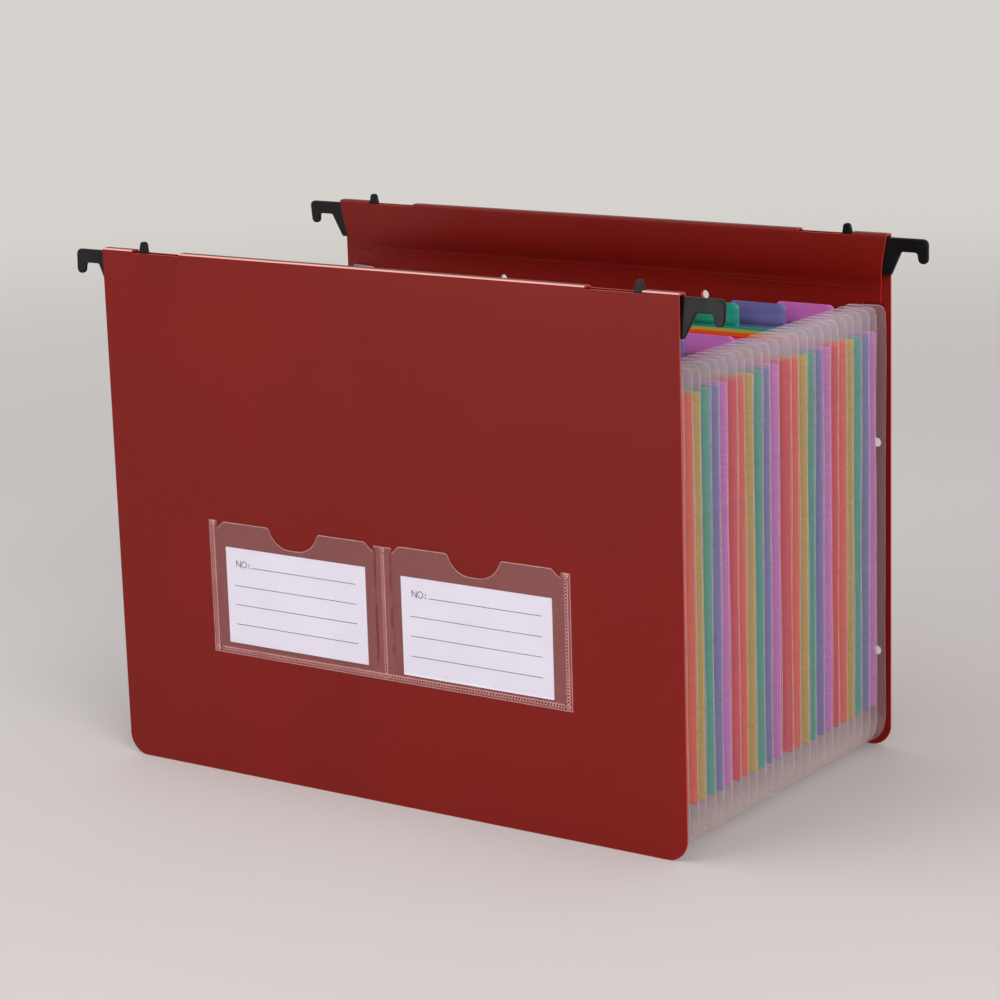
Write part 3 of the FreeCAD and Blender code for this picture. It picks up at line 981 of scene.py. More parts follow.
@dataclass
class RailHook:
    """A black pull-out hook: a plate in the hem, a finger tab and a notched bar for the rail."""

    side: Side
    left: bool
    pushed_in: float = 0.0
    thickness: float = 1.8
    tilt: float = 4.0
    tip: float = 174.7
    tail: float = 106.8
    top: float = 240.5
    bar: float = 6.3
    plate_height: float = 17.4
    tail_drop: float = 1.4
    arm_drop: float = 11.3
    arm: float = 5.5
    arm_taper: tuple[float, float] = (0.4, 0.5)
    notch: float = 8.0
    tab: float = 5.6
    tab_from_side: float = 17.7
    tab_rise: float = 3.8
    tab_slope: float = 1.2
    clear_of_cover: float = 1.2
    seat_gap: float = 0.35
    corner: float = 2.6
    tab_corners: tuple[float, float] = (0.5, 1.5)
    arm_corner: float = 2.3
    notch_corner: float = 1.4
    foot_corner: float = 1.0
    painted_edge_glow: float = 0.4

    def outline(self) -> list[Corner]:
        """Its outline as a right-hand hook, as corners with their radii."""
        bar = self.top - self.bar
        notch_out = self.tip - self.arm
        notch_in = notch_out - self.notch
        tab_out = SIZES.half_width - self.tab_from_side
        tab_in = tab_out - self.tab
        tab_top = SIZES.height + self.tab_rise
        drop = self.top - self.arm_drop
        foot = self.top - self.plate_height
        outside, inside = self.arm_taper
        tab_foot, tab_crown = self.tab_corners
        return [
            (self.tail, self.top - self.tail_drop, self.corner),
            (tab_in, self.top - self.tail_drop, tab_foot),
            (tab_in + self.tab_slope, tab_top, tab_crown),
            (tab_out - self.tab_slope, tab_top, tab_crown),
            (tab_out, self.top, tab_foot),
            (self.tip, self.top, self.corner),
            (self.tip - outside, drop, self.arm_corner),
            (notch_out + inside, drop, self.arm_corner),
            (notch_out, bar, self.notch_corner),
            (notch_in, bar, self.notch_corner),
            (SIZES.half_width + self.clear_of_cover, foot, self.foot_corner),
            (self.tail, foot, self.corner),
        ]

    def build(self, plastic: bpy.types.Material) -> None:
        """Makes the hook: the plate leans by its tilt about its foot and is put in its hem."""
        shape = plate(rounded_outline(self.outline()), self.thickness, self.painted_edge_glow)
        points = shape.points - np.array([0.0, self.thickness / 2, self.top - self.plate_height])
        a = math.radians(-self.tilt)
        turn = np.array([[1, 0, 0], [0, math.cos(a), -math.sin(a)], [0, math.sin(a), math.cos(a)]])
        seat = SIZES.sheet + self.thickness / 2 + self.seat_gap
        points = points @ turn.T + np.array([-self.pushed_in, seat, self.top - self.plate_height])
        mirrored = self.left is (self.side is Side.FRONT)
        faces = shape.faces
        if mirrored:
            points = points * np.array([-1.0, 1.0, 1.0])
            faces = [face[::-1] for face in faces]
        name = f"hook_{self.side.value}_{'left' if self.left else 'right'}"
        made = Shape(SIZES.at(self.side, points), faces, shape.flat)
        hook = mesh_piece(f"{name}_plate", made, [plastic])
        place(hook, name, "hook_black", name)


@dataclass
class PocketDivider:
    """One coloured sheet between two pockets, with its index tab."""

    number: int
    sheet: float = 0.3
    foot: float = 21.2
    top: float = 198.0
    half: float = 151.1
    tab_top: float = 208.6
    tab_width: float = 30.0
    tab_radius: float = 2.6
    tab_inset: float = 21.0
    tabs_in_row: int = 12
    foot_radius: float = 0.9
    top_radius: float = 0.7
    corner_steps: int = 7
    tab_steps: int = 3
    margin: float = 8.0
    tab_margin: float = 4.0
    line: float = 9.0
    row: float = 11.0
    wave: float = 0.45
    wave_lengths: tuple[float, float] = (34.0, 15.0)
    phase: float = 1.7

    @property
    def name(self) -> str:
        """The node and body that it stands for."""
        return f"divider_{self.number:02d}"

    @property
    def tab_left(self) -> float:
        """The left side of the tab. The tabs step to the right in two rows of twelve."""
        reach = self.half - self.tab_inset - self.tab_width / 2
        step = 2 * reach / (self.tabs_in_row - 1)
        return -reach + step * ((self.number - 1) % self.tabs_in_row) - self.tab_width / 2

    def patch(
        self, across: np.ndarray, up: np.ndarray, limit: np.ndarray, middle: float, still: float
    ) -> Shape:
        """A patch of the sheet whose outer columns close up to each row's half width.

        Args:
            across: column lines from the patch's middle.
            up: row heights.
            limit: the half width at each row.
            middle: x of the patch's middle.
            still: how far from the middle the columns stay straight.

        Returns:
            The patch on the divider's own plane, with its waves.
        """
        full = across[-1]
        scale = (limit[:, None] - still) / (full - still)
        beyond = np.sign(across) * (still + (np.abs(across) - still) * scale)
        x = np.where(np.abs(across)[None] > still, beyond, across[None]) + middle
        z = np.broadcast_to(up[:, None], x.shape)
        return Shape(
            np.stack([x, self.plane + self.waves(x, z), z], -1).reshape(-1, 3), grid_faces(*x.shape)
        )

    @property
    def plane(self) -> float:
        """The middle plane of the sheet at rest."""
        low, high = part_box(self.name)
        return (low.y + high.y) / 2 / MM

    def waves(self, x: np.ndarray, z: np.ndarray) -> np.ndarray:
        """How far the sheet stands out of its plane: two long waves, that die out at the sides where
        the film holds it and grow from the foot to the free top.

        It is wave * (1 - |x / half|^6) * free^1.5 * (sin(x / long + phase) + sin(x / short - 2 *
        phase) / 2), where free goes from 0 at the foot to 1 at the top and a little past it in the tab.

        Args:
            x, z: places on the sheet.

        Returns:
            The way out of the plane at each place.
        """
        phase = self.phase * self.number
        long, short = self.wave_lengths
        held = 1 - (np.abs(x) / self.half) ** 6
        free = np.clip((z - self.foot) / (self.top - self.foot), 0, 1.1) ** 1.5
        return self.wave * held * free * (np.sin(x / long + phase) + 0.5 * np.sin(x / short - 2 * phase))

    def surface(self) -> Shape:
        """The sheet with rounded corners, and the tab as a second patch on its top edge.

        A row's half width at a corner of radius r is full - r + sqrt(r^2 - d^2), where d is how far
        the row lies beyond the corner's middle.

        Returns:
            The sheet's middle surface.
        """
        low_r, high_r = self.foot_radius, self.top_radius
        a = np.linspace(0, math.pi / 2, self.corner_steps + 1)
        low = self.foot + low_r * (1 - np.cos(a))
        high = self.top - high_r * (1 - np.cos(a[::-1]))
        up = np.concatenate([low[:-1], spaced([low[-1], high[0]], self.row), high[1:]])
        d = np.clip(self.foot + low_r - up, 0, low_r)
        e = np.clip(up - (self.top - high_r), 0, high_r)
        limit = self.half - low_r + np.sqrt(low_r**2 - d**2) - high_r + np.sqrt(high_r**2 - e**2)
        left = self.tab_left
        still = self.half - self.margin
        marks = sorted({-self.half, -still, left, left + self.tab_width, still, self.half})
        body = self.patch(spaced(marks, self.line), up, limit, 0.0, still)
        r = self.tab_radius
        side = np.linspace(self.top, self.tab_top - r, self.tab_steps + 1)
        tab_up = np.concatenate([side[:-1], self.tab_top - r * (1 - np.sin(a))])
        f = np.clip(tab_up - (self.tab_top - r), 0, r)
        tab_limit = self.tab_width / 2 - r + np.sqrt(r**2 - f**2)
        inner = self.tab_width / 2
        still = inner - self.tab_margin
        across = spaced([-inner, -still, still, inner], self.line)
        tab = self.patch(across, tab_up, tab_limit, left + inner, still)
        return body.joined(tab)

    def build(self, sheets: dict[DividerColour, list[bpy.types.Material]]) -> None:
        """Makes the divider in its colour."""
        colour = list(DividerColour)[(self.number - 1) % len(DividerColour)]
        piece = mesh_piece(f"{self.name}_sheet", self.surface(), sheets[colour])
        # The cut rims take the painted edge glow.
        thicken(piece, self.sheet, rim_slot=1)
        place(piece, self.name, colour.slot, self.name)


@dataclass
class BellowsPleat:
    """One pocket's gusset: film that folds in between two panels, down both sides and under."""

    number: int
    count: int = 25
    film: float = 0.25
    half: float = 151.5
    top: float = 209.0
    foot: float = 0.8
    corner: float = 13.0
    corner_steps: int = 12
    valley_corner: float = 4.0
    valley_round: float = 0.4
    reach: float = 18.0
    top_radius: float = 3.0
    bead: float = 0.2
    panel_gap: float = 0.2
    clearance: float = 0.01
    line: float = 0.2
    section_lines: tuple[float, ...] = (
        0.15, 0.45, 0.9, 1.5, 2.2, 3.0, 5.5, 8.5, 11.5, 14.8, 16.0, 16.9, 17.6, 18.0,
    )
    lip_lines: tuple[float, ...] = (-0.6, -0.4, -0.2, -0.05)
    top_rows: tuple[float, ...] = (0.0, 0.28, 1.5, 3.0, 12.0)
    row: float = 14.0
    foot_row: float = 16.0
    drift_waves: tuple[tuple[float, ...], ...] = ((0.22, 33.0, 2.1), (0.12, 14.0, 1.3))
    drift_fade: float = 30.0
    drift_top: float = 4.0
    bow: float = 0.3
    haze_top: float = 20.0
    blend_past: float = 0.05

    @property
    def name(self) -> str:
        """The node that it stands for."""
        return f"gusset_{self.number:02d}"

    def panel(self, number: int) -> str:
        """The body of a panel, counted from 0 for the front cover."""
        if number == 0:
            return "front_cover"
        return "back_cover" if number == self.count else f"divider_{number:02d}"

    def section(self) -> tuple[np.ndarray, np.ndarray]:
        """The pleat's section as reach inwards from the outer fold, and y.

        It starts on the front panel's middle plane, goes round the panel's edge in a small bead, runs
        straight in to the valley and out again, bowed a little into the pocket by bow * sin(pi * reach
        / depth), and ends in the back panel's bead. On a cover the bead is a flat lip.

        Returns:
            reach and y along the section.
        """
        low, high = (p.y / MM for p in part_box(self.name))
        skin = self.film / 2 + self.clearance
        front, back = low + skin, high - skin
        middle = (front + back) / 2
        share = np.array(self.section_lines)
        lean = (share - share[0]) / (self.reach - share[0])
        bow = self.bow * np.sin(math.pi * lean)
        front_y = front + (middle - front) * lean + bow
        back_y = back - (back - middle) * lean - bow
        gap = self.panel_gap + skin
        angle = np.array([90.0, 60.0, 30.0, 0.0])
        round_in = self.bead * (1 - np.cos(np.radians(90 - angle))) - self.bead
        round_y = gap * (1 - np.sin(np.radians(angle)))
        lip = np.array(self.lip_lines)
        level = np.ones_like(lip)
        start = (lip, front * level) if self.number == 1 else (round_in, front - gap + round_y)
        end = (
            (lip[::-1], back * level)
            if self.number == self.count
            else (round_in[::-1], back + gap - round_y[::-1])
        )
        reach = np.concatenate([start[0], share, share[-2::-1], end[0]])
        y = np.concatenate([start[1], front_y, back_y[-2::-1], end[1]])
        return reach, y

    def way(self) -> np.ndarray:
        """The outer fold's line round the file, as rows of x, z, inward x and inward z.

        It goes down the right side, round the corner on a quarter circle, along the foot and up the
        left side. The valley turns its corner on a smaller circle, and the inward part of a row is the
        way from the fold to the valley over the pleat's depth.

        Returns:
            n by 4.
        """
        a = np.linspace(0, math.pi / 2, self.corner_steps + 1)
        turn = np.stack([-(1 - np.cos(a)), 1 - np.sin(a)], axis=1)
        fold = np.array([self.half, self.foot]) + self.corner * turn
        inner = np.array([self.half - self.reach, self.foot + self.reach])
        bend = np.hstack([fold, (inner + self.valley_corner * turn - fold) / self.reach])
        depths = [row - self.top for row in self.top_rows]
        down = -spaced(depths + [-self.haze_top, -fold[0, 1]], self.row)[:-1]
        share = (self.top - down) / (self.top - fold[0, 1])
        side = np.stack([np.full_like(down, self.half), down, -np.ones_like(down), share * bend[0, 3]], 1)
        along = spaced([0.0, fold[-1, 0]], self.foot_row)[-2::-1]
        share = along / fold[-1, 0]
        under = np.stack([along, np.full_like(along, self.foot), share * bend[-1, 2], 0 * along + 1], 1)
        right = np.vstack([side, bend, under])
        return np.vstack([right, right[-2::-1] * np.array([-1.0, 1.0, -1.0, 1.0])])

    def drift(self, panel: int, z: np.ndarray) -> np.ndarray:
        """How far the fold at a panel strays from a straight line: two slow waves down its length,
        each size * sin(z / length + turn * panel)."""
        return sum(size * np.sin(z / length + turn * panel) for size, length, turn in self.drift_waves)

    def surface(self) -> Shape:
        """The pleat as its section carried along its way.

        Point (row, column) is the way's point plus its inward direction times the section's reach, at
        the section's y. Near both tops the rows close up towards the two rounded corners, at the outer
        fold and at the valley. At a reach r from either the height is top - R + sqrt(R^2 - (R - r)^2).

        Returns:
            The film's middle surface.
        """
        reach, y = self.section()
        way = self.way()
        valley = len(reach) // 2
        strength = np.clip(1 - np.maximum(reach, 0) / self.reach, 0, 1)
        height = way[:, 1:2]
        straight = (np.abs(way[:, 2:3]) > 1 - ROUNDING) & (height < self.top - self.drift_top)
        front = self.drift(self.number - 1, height) * strength * (np.arange(len(reach)) <= valley)
        back = self.drift(self.number, height) * strength * (np.arange(len(reach)) > valley)
        fade = np.clip((height - self.foot - self.corner) / self.drift_fade, 0, 1)
        inward = reach[None] - (front + back) * fade * straight
        x = way[:, 0:1] + way[:, 2:3] * inward
        z = way[:, 1:2] + way[:, 3:4] * inward
        radius = self.top_radius
        nearest = np.minimum(reach, self.reach + self.valley_round - reach)
        short = radius - np.clip(nearest, 0, radius)
        crown = self.top - radius + np.sqrt(radius**2 - short**2)
        base = self.top - self.top_rows[-1]
        rise = (z - base) / (self.top - base)
        z = np.where(z > base, base + rise * (crown[None] - base), z)
        points = np.stack([x, np.broadcast_to(y[None], x.shape), z], axis=-1)
        return Shape(points.reshape(-1, 3), grid_faces(*x.shape), slots=self.edge_faces())

    def edge_faces(self) -> np.ndarray:
        """The slot of each face: 1 on a fold and 2 along a cut top, where the film is painted whiter as a
        painted highlight, and 3 at the foot, where it is crumpled and its film is painted paler and more
        opaque, partly for its haze and partly as painted light."""
        reach, _ = self.section()
        rows = len(self.way())
        fold = np.minimum(reach[:-1], reach[1:]) < self.line - self.clearance
        fold &= np.maximum(reach[:-1], reach[1:]) < self.line + self.clearance
        marked = np.zeros((rows - 1, len(reach) - 1), np.int32)
        height = self.way()[:, 1]
        low = np.maximum(height[1:], height[:-1]) < self.haze_top
        # Painted highlights on the folds and cut tops; the paler foot is partly painted light.
        marked[:, fold] = 1
        marked[low] = 3
        marked[[0, -1], :] = 2
        return marked.ravel()

    def build(self, films: list[bpy.types.Material]) -> None:
        """Makes the pleat of film, with painted highlights on its folds and cut tops, gives it its wall
        and turns that into its mesh in place of the frame's gusset.
        """
        piece = mesh_piece(f"{self.name}_film", self.surface(), films)
        # The cut rims take the painted fold highlight.
        thicken(piece, self.film, rim_slot=1)
        settle(piece)
        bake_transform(piece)
        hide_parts(self.name)
        log.info("%s blends between its panels", piece.name)


@dataclass
class LabelPocket:
    """Clear film welded to the front cover, with two windows, thumb bays and ribbed weld seams."""

    half: float = 98.8
    foot: float = 58.0
    top: float = 120.4
    film: float = 0.25
    side_seam: float = 4.4
    middle_seam: float = 4.8
    foot_seam: float = 4.0
    seam_drop: float = 1.4
    notch_drop: float = 4.2
    chamfer: float = 4.6
    bay_half: float = 14.2
    bay_depth: float = 9.2
    bay_lip: float = 1.6
    bay_floor: float = 0.72
    bay_round: float = 1.3
    bay_steps: int = 40
    ramp: float = 1.6
    clearance: float = 0.01
    painted_edge_glow: float = 0.35
    seam_lines: tuple[float, ...] = (0.0, 0.3, 0.6, 1.0, 1.6, 2.6, 3.6, 4.6, 8.0, 14.0, 21.0, 28.0)
    foot_rows: tuple[float, ...] = (0.0, 0.35, 2.0, 4.0, 4.3, 4.6, 5.0, 5.6, 6.6)
    rows: int = 19
    rise: float = 50.0
    mark_pitch: float = 1.51
    mark_half: tuple[float, float] = (0.85, 0.62)
    mark_rim: float = 0.14
    mark_line: float = 2.1
    mark_sides: int = 12
    mark_shares: tuple[float, ...] = (0.0, 0.4, 0.72, 0.92, 1.2)
    mark_heights: tuple[float, ...] = (0.0, 0.0, 1.0, 0.9, 0.0)
    mark_gap: float = 0.02
    mark_lift: float = 0.015
    mark_top: float = 2.6
    mark_row_ends: tuple[float, float] = (3.4, 2.4)
    round_mark: float = 1.05

    @property
    def proud(self) -> float:
        """How far the windows stand in front of the cover."""
        return SIZES.front_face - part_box("label_pocket")[0].y / MM

    @property
    def bay_middle(self) -> float:
        """The middle of the right window and its bay."""
        return (self.half - self.side_seam + self.middle_seam) / 2

    def top_line(self, x: np.ndarray) -> np.ndarray:
        """Height of the film's top edge at x.

        The right and middle seams stop a little lower. Beside each seam a short notch and a chamfer
        lead up to the window's top, and in its middle the thumb bay drops along its rounded outline.

        Args:
            x: places along the film.

        Returns:
            The height of the edge.
        """
        across = np.abs(x)
        from_seam = np.minimum(self.half - self.side_seam - across, across - self.middle_seam)
        rise = np.clip(from_seam / self.chamfer, 0, 1)
        window = self.top - self.notch_drop * (1 - rise)
        bay = np.interp(across - self.bay_middle, *self.bay_outline())
        return np.where(from_seam < 0, self.seam_top(x), window + bay)

    def seam_top(self, x: np.ndarray) -> np.ndarray:
        """Height where a seam at x stops: level with the windows on the left, and else lower."""
        return np.where(x < self.side_seam - self.half, self.top, self.top - self.seam_drop)

    def bay_outline(self) -> tuple[np.ndarray, np.ndarray]:
        """A thumb bay about its middle, as x and the drop there as z below 0: slanted sides that are
        rounded into the floor and over the lips."""
        half, over, above = self.bay_half, self.bay_half + 6, 5
        right = [(self.bay_floor * half, -self.bay_depth, self.bay_round * self.bay_depth)]
        right += [(half, 0, self.bay_lip), (over, 0, 0), (over, above, 0)]
        left = [(-x, z, radius) for x, z, radius in reversed(right)]
        line = rounded_outline(left + right)
        line = line[line[:, 1] < above / 2]
        return tuple(line[np.argsort(line[:, 0])].T)

    def height(self, x: np.ndarray, z: np.ndarray) -> np.ndarray:
        """How far the film's middle stands in front of the cover: pressed down in the seams, and up
        over a smooth ramp in the windows.

        It is low + (high - low) * (3 * t^2 - 2 * t^3), where t goes from 0 to 1 over the ramp.

        Args:
            x, z: places on the film.

        Returns:
            The distance at each place.
        """
        across = np.abs(x)
        inside = np.minimum(self.half - self.side_seam - across, across - self.middle_seam)
        inside = np.minimum(inside, z - self.foot - self.foot_seam)
        t = np.clip(inside / self.ramp, 0, 1)
        low, high = self.film / 2 + self.clearance, self.proud - self.film / 2
        return low + (high - low) * t * t * (3 - 2 * t)

    def surface(self) -> Shape:
        """The film: rows run from its foot up to its top edge, so they close up under the bays.

        Above the foot seam a row at share s of the way lies at low + s * (top line - low). The film
        rises about 50 mm there, so the last two rows are about the edge's width apart. Slot 1 is the
        edge, painted pale as a painted glow, and slot 2 the seams.

        Returns:
            The film's middle surface in front of the cover.
        """
        seam = self.half - self.side_seam
        beside = np.array(self.seam_lines)
        t = np.linspace(0, math.pi, self.bay_steps + 1)
        bay = self.bay_middle - (self.bay_half + 1.0) * np.cos(t)
        right = np.concatenate(
            [
                [0.0, self.middle_seam / 2, self.middle_seam - self.clearance],
                self.middle_seam + beside,
                bay,
                seam - beside,
                [seam + self.clearance, seam + self.side_seam / 2, self.half - self.painted_edge_glow, self.half],
            ]
        )
        right = np.unique(np.round(right, 4))
        x = np.concatenate([-right[:0:-1], right])
        low = self.foot + np.array(self.foot_rows)
        even = np.linspace(0, 1, self.rows + 1)[1:-1]
        share = np.append(even, [1 - self.painted_edge_glow / self.rise, 1])[:, None]
        head = self.top_line(x)[None]
        z = np.vstack([np.repeat(low[:, None], len(x), axis=1), low[-1] + share * (head - low[-1])])
        x = np.broadcast_to(x[None], z.shape)
        y = SIZES.front_face - self.height(x, z)
        middle = np.abs(x[:-1, 1:] + x[:-1, :-1]) / 2
        slots = np.zeros(middle.shape, np.int32)
        slots[(middle > seam) | (middle < self.middle_seam)] = 2
        slots[: self.foot_rows.index(self.foot_seam)] = 2
        slots[[0, -1], :] = 1
        slots[middle > self.half - self.painted_edge_glow] = 1
        points = np.stack([x, y, z], axis=-1).reshape(-1, 3)
        return Shape(points, grid_faces(*x.shape), slots=slots.ravel())

    def marks(self) -> Shape:
        """The marks of the welding tool along the seams, and a round one at each end.

        A mark is an oval of rings at shares of its half sizes: a flat pit, a raised rim and a slope
        down to the film. Ring k is middle + share k * (a * cos t, b * sin t), height k proud. A round
        mark has a painted highlight: a pale middle in its pit.

        Returns:
            All the marks on the film of the seams. The pits have slot 1.
        """
        painted_edge_glow = self.half - self.mark_line
        foot = self.foot + self.mark_line
        first, last = self.mark_row_ends
        runs = np.arange(first - painted_edge_glow, painted_edge_glow - last, self.mark_pitch)
        long, short = self.mark_half
        rows = []
        for x in (-painted_edge_glow, 0.0, painted_edge_glow):
            head = float(self.seam_top(x)) - self.mark_top
            rises = np.arange(foot + self.mark_line, head, self.mark_pitch)
            rows.append(np.stack([0 * rises + x, rises, 0 * rises + long, 0 * rises + short], axis=1))
        rows.append(np.stack([runs, 0 * runs + foot, 0 * runs + short, 0 * runs + long], axis=1))
        ends = [
            [x, z, self.round_mark, self.round_mark]
            for x in (-painted_edge_glow, 0.0, painted_edge_glow)
            for z in (foot, float(self.seam_top(x)) - self.mark_top / 2)
        ]
        spots = np.concatenate([*rows, np.array(ends)])[:, :, None, None]
        share = np.array(self.mark_shares)[:, None]
        proud = np.array(self.mark_heights)[:, None] * self.mark_rim + self.mark_lift
        angles = np.linspace(0, 2 * math.pi, self.mark_sides + 1)[:-1]
        x = spots[:, 0] + share * spots[:, 2] * np.cos(angles)
        z = spots[:, 1] + share * spots[:, 3] * np.sin(angles)
        y = np.broadcast_to(SIZES.front_face - self.film - self.mark_gap - proud, x.shape)
        number = np.arange(x[0].size).reshape(x[0].shape)
        ahead = np.roll(number, -1, axis=1)
        quads = np.stack([number[:-1], ahead[:-1], ahead[1:], number[1:]], -1).reshape(-1, 4)[:, ::-1]
        every = quads[None] + (np.arange(len(spots)) * x[0].size)[:, None, None]
        # The middle ring of a round mark takes the pale rim colour as a painted highlight.
        oval, round_mark = [1, 1, 0, 0], [0, 1, 0, 0]
        rings = oval * (len(spots) - len(ends)) + round_mark * len(ends)
        slots = np.repeat(np.array(rings), len(angles))
        return Shape(np.stack([x, y, z], -1).reshape(-1, 3), every.reshape(-1, 4).tolist(), slots=slots)

    def build(self, films: list[bpy.types.Material], marks: list[bpy.types.Material]) -> None:
        """Makes the film with its seams and with its edge painted pale as a painted glow, and the marks of
        its welds.
        """
        film = mesh_piece("label_pocket_film", self.surface(), films)
        # The cut rims take the painted edge glow.
        thicken(film, self.film, rim_slot=1)
        place(film, "front_cover", "pocket_clear", "label_pocket")
        welds = mesh_piece("label_pocket_welds", self.marks(), marks)
        place(welds, "front_cover", "pocket_clear")


@dataclass
class LabelCard:
    """A paper card in one window, with four ruled lines and a mark for a number."""

    left: bool
    width: float = 79.6
    height: float = 45.0
    sheet: float = 0.35
    corner: float = 0.3
    painted_edge_glow: float = 0.08
    rule: float = 0.3
    rules: tuple[float, ...] = (36.5, 27.3, 18.3, 9.1)
    rule_starts: tuple[float, ...] = (14.8, 4.6, 4.6, 4.6)
    rule_end: float = 5.4
    stroke: float = 0.4
    tall: float = 2.9
    n_left: float = 6.0
    n_width: float = 2.3
    o_middle: float = 10.4
    o_half: float = 1.4
    colon: float = 13.2
    colon_dots: tuple[float, float] = (0.3, 1.7)
    dot: float = 0.6
    ink: float = 0.015
    ink_gap: float = 0.012

    def print_shape(self) -> Shape:
        """The print: four lines, and the letters N and O with a colon as strokes of one width.

        Returns:
            The ink, from the card's lower left corner.
        """
        marks = [
            stroke(np.array([[x, z], [self.width - self.rule_end, z]]), self.rule)
            for x, z in zip(self.rule_starts, self.rules)
        ]
        a = np.linspace(0, 2 * math.pi, 25)[:-1]
        foot, tall, wide = self.rules[0] - self.rule, self.tall, self.n_width
        letter_n = np.array([[0, 0], [0, tall], [wide, 0], [wide, tall]]) + np.array([self.n_left, foot])
        round_x = self.o_middle + self.o_half * np.cos(a)
        letter_o = np.stack([round_x, foot + tall / 2 * (1 + np.sin(a))], axis=1)
        marks += [stroke(letter_n, self.stroke), stroke(letter_o, self.stroke, closed=True)]
        for z in self.colon_dots:
            low, high = foot + z - self.dot / 2, foot + z + self.dot / 2
            marks.append(stroke(np.array([[self.colon, low], [self.colon, high]]), self.dot))
        ink = marks[0]
        for mark in marks[1:]:
            ink = ink.joined(mark)
        return ink

    def build(self, paper: bpy.types.Material, ink: bpy.types.Material) -> None:
        """Makes the card and its print."""
        name = f"label_card_{'left' if self.left else 'right'}"
        low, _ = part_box(name)
        corner = (low.x / MM, low.y / MM, low.z / MM)
        corners = [(0, 0), (self.width, 0), (self.width, self.height), (0, self.height)]
        outline = rounded_outline([(x, z, self.corner) for x, z in corners], 4)
        card = plate(outline, self.sheet, self.painted_edge_glow, 2).moved(corner)
        place(mesh_piece(f"{name}_paper", card, [paper]), name, "card_paper", name)
        printed = self.print_shape().moved((corner[0], corner[1] - self.ink_gap, corner[2]))
        piece = mesh_piece(f"{name}_print", printed, [ink])
        thicken(piece, self.ink)
        place(piece, name, "card_paper")


# Studio


@dataclass
class SoftBox:
    """A soft lamp. glow is its radiance, so that its size changes only how soft it is."""

    name: str
    at: tuple[float, float, float]
    size: tuple[float, float]
    glow: float
    colour: tuple[float, float, float] = (1.0, 1.0, 1.0)
    aim: tuple[float, float, float] = (0.0, 0.0, 0.13)

    def build(self) -> None:
        """Hangs the lamp."""
        data = bpy.data.lights.new(self.name, "AREA")
        data.shape = "RECTANGLE"
        data.size, data.size_y = self.size
        data.energy = self.glow * math.pi * self.size[0] * self.size[1]
        data.color = self.colour
        lamp = bpy.data.objects.new(self.name, data)
        lamp.location = self.at
        lamp.rotation_euler = (Vector(self.aim) - Vector(self.at)).to_track_quat("-Z", "Y").to_euler()
        bpy.context.scene.collection.objects.link(lamp)


